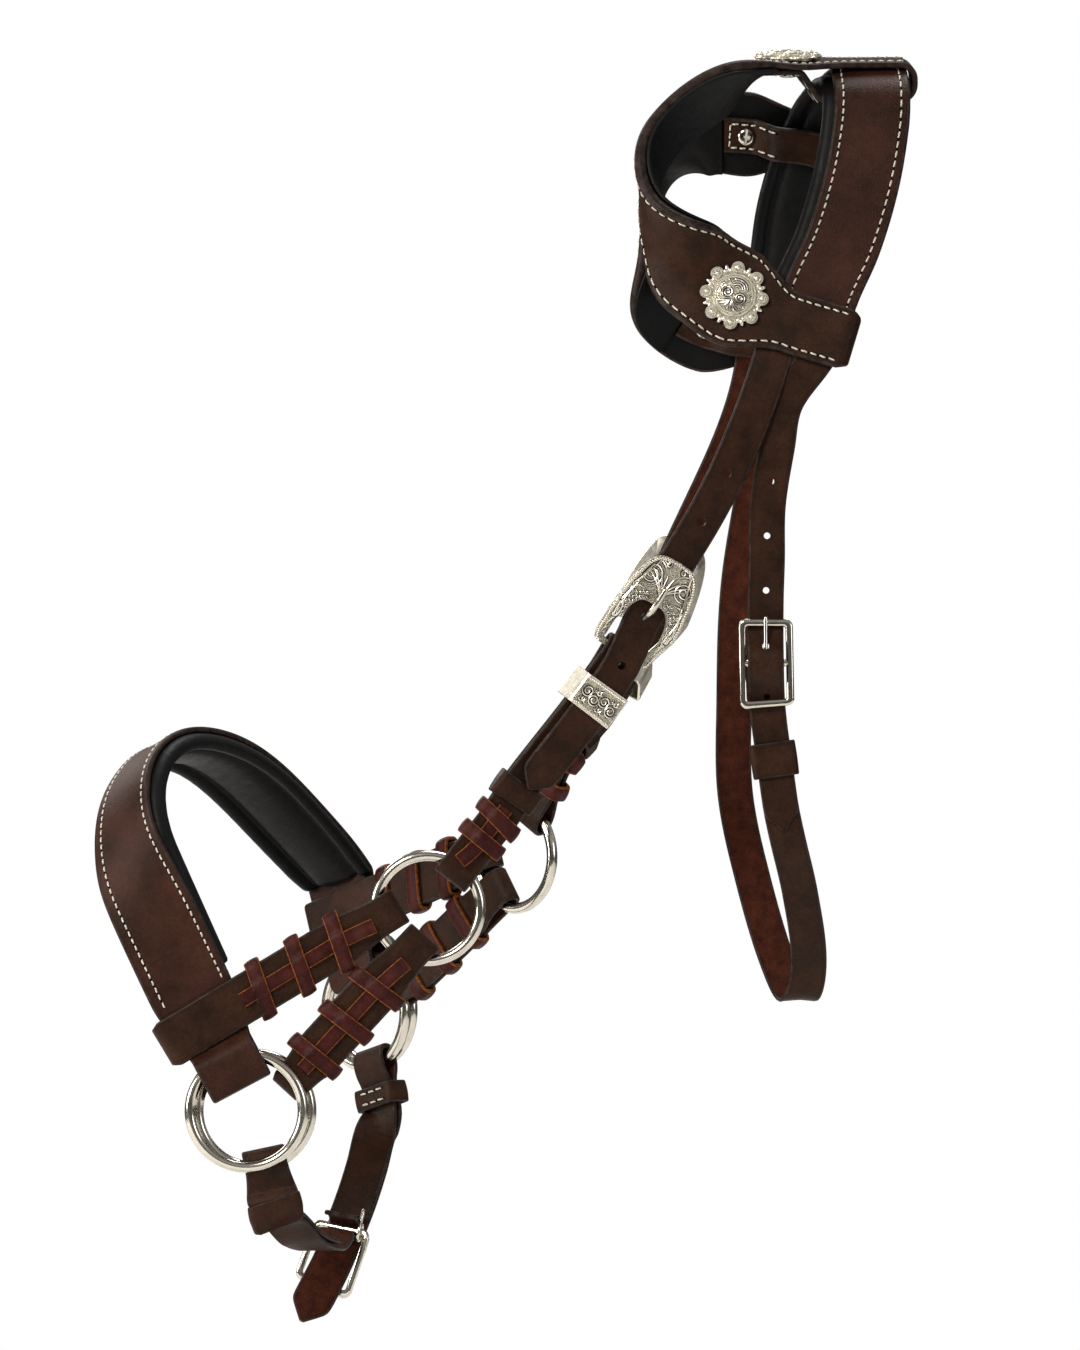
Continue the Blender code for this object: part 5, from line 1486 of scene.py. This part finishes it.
def build_screw(name, spot, out, way, across, node):
    """Slotted round head on its post, as machined from nickel-plated rod."""
    head = screw_across / 2
    low = tab_flat - ear_thick / 2 - gap
    top = ear_thick / 2 + slack
    profile = (
        (post_across / 2, top - slack - gap), (post_across / 2, low), (head * 0.96, low),
        (head, low - screw_rise * 0.18), (head, low - screw_rise * 0.5),
        (head * 0.93, low - screw_rise * 0.74),
        (head * 0.72, low - screw_rise * 0.94), (head * 0.3, low - screw_rise * 1.04),
    )
    turn = [2 * math.pi * k / 32 for k in range(32)]
    rows = [
        [spot + way * (radius * math.cos(a)) + across * (radius * math.sin(a)) + out * h for a in turn]
        for radius, h in profile
    ]
    thing = make_piece(name, [(rows, False, 0)], [nickel_plate, nickel_plate], None, 35)
    slot_rows = [
        [
            spot + across * (head * 1.2 * k) + way * (screw_rise * a) + out * (low - screw_rise * b)
            for a, b in ((-0.36, 0.5), (0.36, 0.5), (0.36, 1.6), (-0.36, 1.6))
        ]
        for k in (-1, 1)
    ]
    cut_away(thing, [slot_rows])
    dress(thing, "headstall", node)


for side in (near, far):
    for where, s in (("low", concho_from_crown), ("high", side.ear.long - concho_from_crown)):
        spot, way, across, out = side.ear.at(s)
        name = where + "_" + side.mark
        build_concho("rosette_" + name, spot + out * (ear_thick / 2 + slack), out, way, "concho_" + name)
        build_screw("slotted_screw_" + name, spot, out, way, across, "screw_" + name)

# Cheek buckles: cast plates with an arched top, silver plated and engraved with scrolls
# inside a rope border. The prong is round steel wire that turns on the heel bar.
heel_wide = 0.0290
crest_wide = 0.0370
plate_thick = 0.0026
silver_keeper_long = 0.0150
silver_thick = 0.0012
silver_lean = 0.0034
prong_radius = 0.0015
leg = 0.0042
buckle_lift = bar / 2 + slack + ply + gap * 2 + billet_thick + slack + plate_thick / 2
inner_half = cheek_wide / 2 + slack + billet_side
rope_pitch = 0.00115
rope_strand = 0.00048
border_wide = 0.0021
inner_margin = 0.0008
scroll_line = 0.00036
fill_line = 0.00025
fill_curl = 0.0007
fill_row = 0.0016
fill_column = 0.0018


def buckle_rise(s):
    return ease(s, ((heel_at + bar * 0.6, 0), (hole_at - bar * 0.3, buckle_lift)))


def buckle_outline(grow):
    """Outer and inner outline from the heel over the crest, as s and t; grow insets the outer."""
    outer = []
    inner = []
    count = 40
    for k in range(count + 1):
        angle = math.pi * k / count
        swell = math.sin(angle)
        across = math.cos(angle)
        s = ease(swell, ((0, heel_at + (arch_at - heel_at) * 0.55), (1, crest_at - grow)))
        outer.append((s, across * (crest_wide / 2 * (0.90 + 0.10 * swell) - grow)))
        s = ease(swell, ((0, heel_at + (arch_at - heel_at) * 0.45), (1, arch_at)))
        inner.append((s, across * inner_half))
    for hand in (-1, 1):
        pairs = [
            ((heel_at + bar, hand * (heel_wide / 2 + leg * 0.1 - grow)),
             (heel_at + bar * 1.2, hand * (inner_half - leg * 0.28))),
            ((heel_at - bar / 2, hand * (heel_wide / 2 - bar / 3 - grow)),
             (heel_at + bar / 2, hand * (inner_half - bar / 4))),
        ]
        if hand < 0:
            pairs += [((heel_at - bar / 2, 0), (heel_at + bar / 2, 0))]
        for one, two in pairs if hand < 0 else pairs[::-1]:
            outer.append(one)
            inner.append(two)
    return outer, inner


def round_up(outer, inner, rounds):
    """Both outlines smoothed together."""
    joined = [(*one, *two) for one, two in zip(outer, inner)]
    joined = soften(joined, True, rounds)
    return [spot[:2] for spot in joined], [spot[2:] for spot in joined]


def build_buckle(side):
    line = side.cheek
    outer, inner = round_up(*buckle_outline(0), 1)
    rows = []
    half = plate_thick / 2
    shape = ((0, -0.75), (0.02, -1), (0.5, -1), (0.98, -1), (1, -0.75), (1, 0.55), (0.93, 0.86), (0.75, 0.97))
    shape += ((0.5, 1.0), (0.25, 0.97), (0.07, 0.86), (0, 0.55))
    for (s, t), (u, v) in zip(outer, inner):
        rows.append([
            line.put(s + (u - s) * share, t + (v - t) * share, buckle_rise(s + (u - s) * share) + half * high)
            for share, high in shape
        ])
    parts = [(rows, True, [3 if high < 0 else 0 for _, high in shape])]

    def on_plate(s, t, lift=0.00003):
        spot, _, side_way, out = line.at(s)
        return spot + side_way * t + out * (buckle_rise(s) + half + lift), out

    border, _ = round_up(*buckle_outline(0.0010), 1)
    run = 0
    last = border[0]
    for one in border[1:]:
        span = math.hypot(one[0] - last[0], one[1] - last[1])
        while run < span:
            share = run / span
            s = last[0] + (one[0] - last[0]) * share
            t = last[1] + (one[1] - last[1]) * share
            if s > heel_at - bar * 0.3:
                centre, out = on_plate(s, t, -0.0001)
                ahead = (line.put(one[0], one[1], 0) - line.put(last[0], last[1], 0)).normalized()
                lean = (ahead * 0.62 + ahead.cross(out) * 0.78).normalized()
                parts.append((bead(centre, out, lean, rope_strand, 0.9, 1.75), False, 1))
            run += rope_pitch
        run -= span
        last = one

    def outer_half(s):
        found = [one for one in outer if one[1] > 0]
        found = sorted(found + [(crest_at + bar, 0)])
        for (a, u), (b, v) in zip(found, found[1:]):
            if a <= s <= b and b > a:
                return u + (v - u) * (s - a) / (b - a)
        return 0

    def on_silver(s, t):
        if abs(t) > outer_half(s) - border_wide or s < heel_at + bar:
            return False
        if abs(t) > inner_half + inner_margin:
            return True
        swell = math.sqrt(max(1 - (t / inner_half) ** 2, 0))
        return s > ease(swell, ((0, heel_at + (arch_at - heel_at) * 0.45), (1, arch_at))) + inner_margin

    curls = []
    for t in stretch(-0.92, 0.92, 24):
        curls.append([
            (arch_at - 0.024 * t**6 + 0.0006 * k, inner_half * t * (1 + 0.09 * k)) for k in (0.6, 1.5, 2.4)
        ])
    scroll_at = 0.1776
    scroll_side = 0.0086
    for hand in (-1, 1):
        curls.append(volute(scroll_at, hand * scroll_side, 0.0057, 2.3, 1.57 - 1.9 * hand, hand, 46))
        for reach, first, last in ((0.0071, -0.9, 3.3), (0.0083, -0.2, 2.7)):
            curls.append([
                (scroll_at + reach * math.cos(a), hand * (scroll_side + reach * math.sin(a)))
                for a in stretch(first, last, 20)
            ])
        curls.append(volute(0.1850, hand * 0.0040, 0.0017, 1.3, 1.0 * hand, -hand, 16))
        curls.append(volute(0.1712, hand * 0.0145, 0.0017, 1.3, 2.0 * hand, -hand, 16))
        for lean in (0.1, 0.45, 0.85, 1.3):
            curls.append([
                (arch_at + 0.0030 + 0.0022 * k, hand * (0.0006 + lean * 0.00042 * k * k)) for k in range(6)
            ])
        for share in (0.28, 0.52, 0.76):
            wavy = []
            for s in stretch(heel_at + bar * 1.4, arch_at + 0.006, 14):
                part = share + 0.12 * math.sin(s * 420 + share * 7)
                wavy.append((s, hand * (inner_half + (outer_half(s) - inner_half) * part)))
            curls.append(wavy)
        curls.append(volute(0.1610, hand * 0.0146, 0.0016, 1.4, 2.4 * hand, hand, 16))
        curls.append(volute(0.1545, hand * 0.0136, 0.0013, 1.4, 0.4 * hand, -hand, 16))
    tiny = []
    for i in range(-13, 13):
        for j in range(19):
            s = arch_at + fill_row * i
            t = fill_column * (j - 9 + 0.5 * (i % 2))
            clear = math.hypot(s - scroll_at, abs(t) - scroll_side) > 0.0080
            if clear and on_silver(s, t) and abs(t) > 0.0028:
                a = i * 2.4 + j * 1.7
                tiny.append([
                    (s + fill_curl * math.cos(b), t + fill_curl * math.sin(b)) for b in stretch(a, a + 4.4, 7)
                ])
    for curl, size in [(one, scroll_line) for one in curls] + [(one, fill_line) for one in tiny]:
        kept = [one for one in curl if on_silver(*one)]
        if len(kept) > 2:
            placed = [on_plate(s, t) for s, t in kept]
            engrave(parts, [p for p, _ in placed], [n for _, n in placed], size)
    thing = make_piece(
        "arched_buckle_" + side.mark, parts, [silver_ground, silver_ridge, silver_black, silver_plain]
    )
    dress(thing, "headstall", "cheek_buckle_" + side.mark)


def prong(name, line, path, radius, body, side=0):
    """Round buckle prong along a path in s and h, with a rounded tip."""
    path = soften(path, False, 2)
    rows = []
    total = len(path)
    for i, ((s, h), (ns, nh)) in enumerate(zip(path, offsets(path, False))):
        left = total - 1 - i
        size = radius * (0.5, 0.8, 0.95)[left] if left < 3 else radius
        turn = [2 * math.pi * k / 14 for k in range(14)]
        rows.append([
            line.put(s + ns * size * math.cos(b), side + size * math.sin(b), h + nh * size * math.cos(b))
            for b in turn
        ])
    dress(make_piece(name, [(rows, False, 0)], [nickel_plate]), body, body)


for side in (near, far):
    build_buckle(side)
    eye = bar / 2 + slack + bar * 0.35
    over = buckle_lift + plate_thick / 2 + gap + prong_radius * 1.3
    path = arc(heel_at, 0, eye, 330, 90, 9)
    path += [(heel_at + bar, eye), (hole_at - bar, buckle_lift * 0.3), (hole_at + bar * 1.3, over)]
    path += [(arch_at + bar * 2, over), (arch_at + bar * 3, over)]
    prong("cheek_prong_" + side.mark, side.cheek, path, prong_radius, "cheek_tongue_" + side.mark)

# Silver keepers: a strip of the same plate bent round the strap and soldered, its front
# engraved inside two rope borders, its sides left plain.


def build_silver_keeper(side):
    line = side.cheek
    flip = side.hand
    half = cheek_wide / 2 + slack
    high = cheek_ply_gap / 2 + ply + slack
    top = bar / 2 + slack + ply + gap * 2 + billet_thick + slack
    side_low = -half - (billet_side if flip > 0 else 0)
    side_high = half + (0 if flip > 0 else billet_side)
    shift = silver_lean * flip
    path = [
        (t + shift * (h + high) / (top + high), h)
        for t, h in loop_path(side_low, side_high, -high, top, silver_thick, silver_thick * 1.3)
    ]
    name = "keeper_plate_" + side.mark
    body = "silver_keeper_" + side.mark
    band(
        name, line, silver_at, silver_keeper_long, path, silver_thick, [silver_plain] * 3, body,
        body, corner=0.7,
    )
    face = top + silver_thick
    parts = []
    low_t, high_t = side_low + shift - silver_thick * 0.2, side_high + shift + silver_thick * 0.2
    rows = []
    inset = silver_keeper_long / 2 - 0.0007
    for s, lift in ((-inset, -0.0003), (-inset, 0.00012), (inset, 0.00012), (inset, -0.0003)):
        rows.append([line.put(silver_at + s, t, face + lift) for t in stretch(low_t, high_t, 6)])
    flat = [[row[k] for row in rows] for k in range(7)]
    parts.append((flat, False, 0))
    for hand in (-1, 1):
        for t in stretch(low_t + 0.0006, high_t - 0.0006, 19):
            centre = line.put(silver_at + hand * (inset - 0.0005), t, face + 0.0001)
            _, way, across, out = line.at(silver_at)
            lean = (across * 0.62 + way * 0.78 * hand).normalized()
            parts.append((bead(centre, out, lean, 0.00046, 0.85, 1.7), False, 1))
    curls = []
    for k, t in enumerate(stretch(low_t + 0.0036, high_t - 0.0036, 3)):
        hand = 1 if k % 2 else -1
        curls.append(volute(silver_at - hand * 0.0010, t, 0.0031, 2.0, 0.5 * hand, hand, 26))
        for j, bend in enumerate((0.0, 0.9, 1.8, 2.7)):
            x, y = silver_at + hand * (0.0030 + 0.0005 * (j % 2)), t - 0.0022 + 0.0014 * j
            curls.append([
                (x + 0.0011 * math.cos(a), y + 0.0009 * math.sin(a)) for a in stretch(bend, bend + 3.6, 7)
            ])
    for curl in curls:
        spots = [line.put(s, t, face + 0.00014) for s, t in curl if abs(s - silver_at) < inset - 0.0007]
        if len(spots) > 2:
            engrave(parts, spots, [line.at(silver_at)[3]] * len(spots), 0.00034)
    thing = make_piece("keeper_engraving_" + side.mark, parts, [silver_ground, silver_ridge, silver_black])
    dress(thing, body)


build_silver_keeper(near)
build_silver_keeper(far)

# Chin strap: a short buckle strap from the near chin ring and a long billet from the far
# one, both folded round their rings and held by sewn keepers. The billet runs through a
# small nickel buckle and its tip turns its rough flesh side to the front.
chin_wide = 0.0184
chin_end_wide = 0.0138
bow_long = 0.0250
mid_ply = (ply_gap + ply) / 2
far_down = far.way(math.radians(-62))
chin_spots = (
    (-216.5, 57, -464.6), (-220.0, 46, -478.7), (-224.8, 33, -493.7), (-230.6, 20, -508.6),
    (-235.8, 12, -521.0),
    (-242.4, 6, -534.2), (-248.6, 2, -545.6)
)
across = far_down.cross(far.out)
stops = [(far.low_hub + far_down * lower_ring_across * k, across, far_down) for k in (0, 0.84)]
stops += [(spot, Vector((0.97, 0.1, 0.22))) for spot in metres(chin_spots)]
billet_line = Line(stops)
chin_heel = billet_line.near(metres(chin_spots)[3])
hook = bar * 0.72 + slack + ply / 2
heel_level = mid_ply - ply / 2 - gap * 2 - hook - ply / 2
ring_open = wire / 2 + slack + ply / 2
chin_fold = reach_in(lower_radius, chin_wide / 2) - ply
first = chin_fold + ring_open + wire * 1.2
lead = ring_open * 1.5


def ring_fold(level):
    """Fold of a chin strap round its ring, from the inner ply to the outer ply."""
    points = [(first + lead, -level), (first, -ring_open)]
    points += arc(chin_fold + ring_open, 0, ring_open, 270, 90, 8)
    return points + [(first, ring_open), (first + lead, level)]


tip = ((0, 0.12), (0.1, 0.32), (0.25, 0.62), (0.42, 0.93), (0.6, 1))
inner_end = chin_heel - chin_wide * 0.55
path = [(s, -mid_ply, chin_wide) for s in stretch(inner_end, first + lead * 1.6, 14)]
path += [(s, h, chin_wide) for s, h in ring_fold(mid_ply)]
path += [(s, mid_ply, chin_wide) for s in stretch(first + lead * 1.6, billet_line.long - chin_wide, 26)]
path += [(billet_line.long - chin_wide * share, mid_ply, chin_wide * wide) for share, wide in reversed(tip)]
holes = [
    punch(billet_line, chin_heel + bow_long * share, 0, mid_ply - ply, mid_ply + ply, hole_across * 0.42)
    for share in (-2.2, -1.4, -0.6)
]
strap("chin_tail", billet_line, path, ply, chin_wide, leather_set, "chin_billet", holes)
_, way, side_way, out_way = billet_line.at(chin_heel)
heel_spot = billet_line.put(chin_heel, 0, heel_level)
near_down = near.way(math.radians(-78))
across = near_down.cross(near.out)
stops = [(near.low_hub + near_down * lower_ring_across * k, across, near_down) for k in (0, 0.84)]
near_chin_spots = ((-255.2, -49, -500.3), (-247.3, -36, -508.6), (-238.5, -16, -511.7))
stops += [(spot, Vector((-1, 0, 0))) for spot in metres(near_chin_spots)]
stops.append((heel_spot - way * (mid_ply - hook), -side_way, out_way))
strap_line = Line(stops)
strap_end = strap_line.long


flap_end = first + lead + 0.0115
flap_wide = 0.0232
flap_rise = 0.0024


def chin_strap_wide(s):
    if s < flap_end:
        return ease(s, (
            (first, chin_wide * 1.04), (flap_end - 0.0055, flap_wide), (flap_end - 0.0005, chin_wide)
        ))
    return ease(strap_end - s, ((hook, chin_end_wide), (hook * 4, chin_wide)))


path = [(s, -mid_ply) for s in stretch(strap_end * 0.72, first + lead * 1.3, 7)]
path += ring_fold(mid_ply) + [
    (s, mid_ply + flap_rise * math.sin(math.pi * k / 12) ** 2)
    for k, s in enumerate(stretch(first + lead * 1.3, flap_end, 12))
]
path += [(s, mid_ply) for s in stretch(flap_end, strap_end - hook, 14)[1:]]
path += arc(strap_end, mid_ply - hook, hook, 90, -90, 8)
path += [(strap_end - hook, mid_ply - hook * 2), (strap_end - hook * 1.8, mid_ply - hook * 2)]
strap("chin_buckle_strap", strap_line, path, ply, chin_strap_wide, leather_set, "chin_strap")


def wire_frame(name, line, outer, inner, level, thick, node, bars=()):
    """Buckle frame of drawn wire between two outlines, rounded in section."""
    rows = []
    for (s, t), (u, v) in zip(outer, inner):
        mid_s, mid_t = (s + u) / 2, (t + v) / 2
        row = []
        for k in range(16):
            a = 2 * math.pi * k / 16
            x = max(min(math.cos(a) * 1.18, 1), -1)
            y = max(min(math.sin(a) * 1.18, 1), -1)
            at = mid_s + (s - u) / 2 * x
            row.append(line.put(at, mid_t + (t - v) / 2 * x, level(at) + thick / 2 * y))
        rows.append(row)
    thing = make_piece(name, [(rows, True, 0)] + [(rod, False, 0) for rod in bars], [nickel_plate])
    dress(thing, "headstall", node)


free_level = mid_ply + ply / 2 + gap * 2 + bar / 2
chin_free = chin_heel + bow_long
half_in = chin_wide / 2 + slack * 2
wire_frame(
    "chin_bow", billet_line,
    rounded(chin_heel - bar / 2, chin_free + bar / 2, -half_in - bar, half_in + bar, bar * 1.3),
    rounded(chin_heel + bar / 2, chin_free - bar / 2, -half_in, half_in, bar * 0.4),
    lambda s: heel_level + (free_level - heel_level) * (s - chin_heel) / (chin_free - chin_heel),
    bar * 0.9, "chin_buckle",
)
pin_size = 0.0009
eye = bar * 0.72 + slack / 2 + pin_size
path = [
    (chin_heel + eye * math.cos(a), heel_level + eye * math.sin(a))
    for a in (3.4, 2.6, 1.8, 1.0, 0.2, -0.6, -1.4)
]
path += [(chin_heel - bar * 1.2, heel_level - bar * 1.4), (chin_heel - bar * 2.6, heel_level - bar * 2.0)]
prong("chin_prong", billet_line, path, pin_size, "chin_tongue", chin_end_wide / 2 + slack + pin_size)
half = chin_wide / 2 + slack * 1.8
high = mid_ply + ply / 2 + slack * 1.8
spot = first + lead + leather_keeper_long * 0.52
path = loop_path(-half, half, -high - slack, high + slack, keeper_thick, keeper_thick * 1.1)
for mark, line, at, lean in (("left", strap_line, flap_end - 0.0004, 0.12), ("right", billet_line, spot, 0)):
    band(
        "chin_loop_" + mark, line, at, leather_keeper_long * 0.9, path, keeper_thick, leather_set,
        "headstall", "chin_keeper_" + mark, lean, bulge=0.0004,
    )
seam = 0.0024
seam_half = 0.0074
keeper_face = high + slack + keeper_thick + 0.0004
sew(
    "chin_keeper_stitching",
    [
        (cross_line(billet_line, spot + k * seam, seam_half), 0, seam_half * 2, lambda s: 0,
         lambda s: keeper_face, 1)
        for k in (-1, 1)
    ],
    0.0049,
)

# Throat strap: the near billet drops from the crown to a square centre-bar buckle; the far
# strap comes down behind it, turns under the jaw and back up to the buckle's bar.
throat_bow = 0.0356
throat_bow_wide = 0.0240
throat_bar = 0.0033
near_spots = (
    (-34.8, -56, -139.9), (-38.7, -57, -159.7), (-42.7, -57, -185.2), (-43.1, -57, -209.4),
    (-43.6, -57, -227.0),
    (-43.6, -57, -254.8), (-42.7, -57, -275.4), (-39.6, -57, -299.6), (-35.6, -57, -328.2)
)
throat_in = crown_wide * 0.16
throat_across = crown_wide * 0.27
forward = Vector((-1, 0, 0))
stops = [(crown.put(throat_in, throat_across, 0), forward, -crown.at(throat_in)[1])]
throat_line = Line(stops + [(spot, forward) for spot in metres(near_spots)])
mid_s = throat_line.near(metres(near_spots)[5])
half_bow = throat_bow / 2
over_bar = throat_bar / 2 + throat_thick * 1.5 + slack * 1.5
behind = throat_bar / 2 + throat_thick / 2 + slack * 1.2
end = throat_line.long
path = [(s, 0, throat_wide) for s in stretch(0, mid_s - half_bow * 2, 20)]
path += [
    (mid_s + half_bow * share, level, throat_wide)
    for share, level in (
        (-1.4, -behind * 0.9), (-1, -behind), (-0.68, -behind * 0.4), (-0.28, over_bar * 0.84),
        (0, over_bar),
        (0.28, over_bar * 0.72), (0.74, -behind * 0.7), (1, -behind),
    )
]
path += [(s, -behind, throat_wide) for s in stretch(mid_s + half_bow * 1.3, end - throat_wide, 7)]
path += [(end - throat_wide * share, -behind, throat_wide * wide) for share, wide in reversed(tip)]
holes = [
    punch(throat_line, mid_s + half_bow * share, 0, -behind * 1.2, ply, hole_across * 0.4)
    for share in (-4.5, -3.15, -1.8, 0.84)
]
holes.append(punch(throat_line, mid_s - half_bow * 0.42, 0, -behind, over_bar * 1.6, hole_across * 0.42))
strap("throat_tail", throat_line, path, throat_thick, throat_wide, leather_set, "crown_strap", holes)
far_spots = (
    (-41.8, 50, -143.4), (-47.5, 48, -174.2), (-55.0, 46, -222.2), (-56.8, 40, -274.1), (-56.3, 35, -312.8),
    (-48.4, 24, -351.1), (-37.0, 10, -389.0), (-28.6, -2, -403.0), (-24.2, -16, -387.6),
    (-28.2, -36, -356.8)
)
rearward = Vector((1, 0, 0))
stops = [(crown.put(crown.long - throat_in, throat_across, 0), rearward, crown.at(crown.long - throat_in)[1])]
stops += [(spot, rearward) for spot in metres(far_spots)]
for down in (throat_bow * 1.7, throat_bow * 1.2, throat_bow * 0.6, 0):
    spot, way, side_way, _ = throat_line.at(mid_s + down)
    stops.append((spot, -side_way, -way))
far_throat = Line(stops, 14)
last = far_throat.long
front_ply = -behind - throat_thick - slack * 0.6
back_ply = front_ply - throat_thick - slack * 0.6
wrap = throat_bar / 2 + throat_thick / 2 + slack / 2
path = [(s, 0) for s in stretch(0, last - throat_bow * 2.3, 40)]
path += [(s, front_ply) for s in stretch(last - throat_bow * 1.65, last - half_bow, 8)]
path += [(last - half_bow * 0.66, front_ply * 0.86), (last - half_bow * 0.24, wrap * 0.55)]
path += arc(last, 0, wrap, 120, -80, 9)
path += [(last - half_bow * 0.42, back_ply * 0.62), (last - half_bow * 0.9, back_ply)]
path += [(last - half_bow * 1.3, back_ply), (last - half_bow * 1.75, back_ply)]
notch = block(
    far_throat, (last - half_bow * 0.5, last + wrap * 1.6), bar * 0.55, front_ply * 1.2, wrap * 1.6
)
strap("throat_strap", far_throat, path, throat_thick, throat_wide, leather_set, "crown_strap", [notch])
half_out = throat_bow_wide / 2
bar_end = half_out - throat_bar / 2
centre_bar = rod_between(
    throat_line.put(mid_s, -bar_end, 0), throat_line.put(mid_s, bar_end, 0), throat_bar / 2, 16
)
half_over = half_bow + throat_bar / 2
half_under = half_bow - throat_bar / 2
wire_frame(
    "throat_bow", throat_line, rounded(mid_s - half_over, mid_s + half_over, -half_out, half_out, throat_bar),
    rounded(
        mid_s - half_under, mid_s + half_under, throat_bar - half_out, half_out - throat_bar, throat_bar * 0.3
    ),
    lambda s: 0, throat_bar, "throat_buckle", [centre_bar],
)
eye = throat_bar / 2 + gap * 2 + pin_size
rest = throat_bar / 2 + gap + pin_size
path = [(mid_s - x, h) for x, h in arc(0, 0, eye, 290, 75, 10)]
path += [(mid_s - half_bow * 0.5, rest), (mid_s - half_bow, rest), (mid_s - half_bow * 1.16, rest)]
prong("throat_prong", throat_line, path, pin_size, "throat_tongue")
keeper(
    "throat_loop", throat_line, mid_s + throat_bow * 1.2, leather_keeper_long * 1.4, throat_wide / 2 + slack,
    front_ply - throat_thick / 2 - slack, throat_thick / 2 - behind + slack, "throat_keeper", "throat_keeper",
)
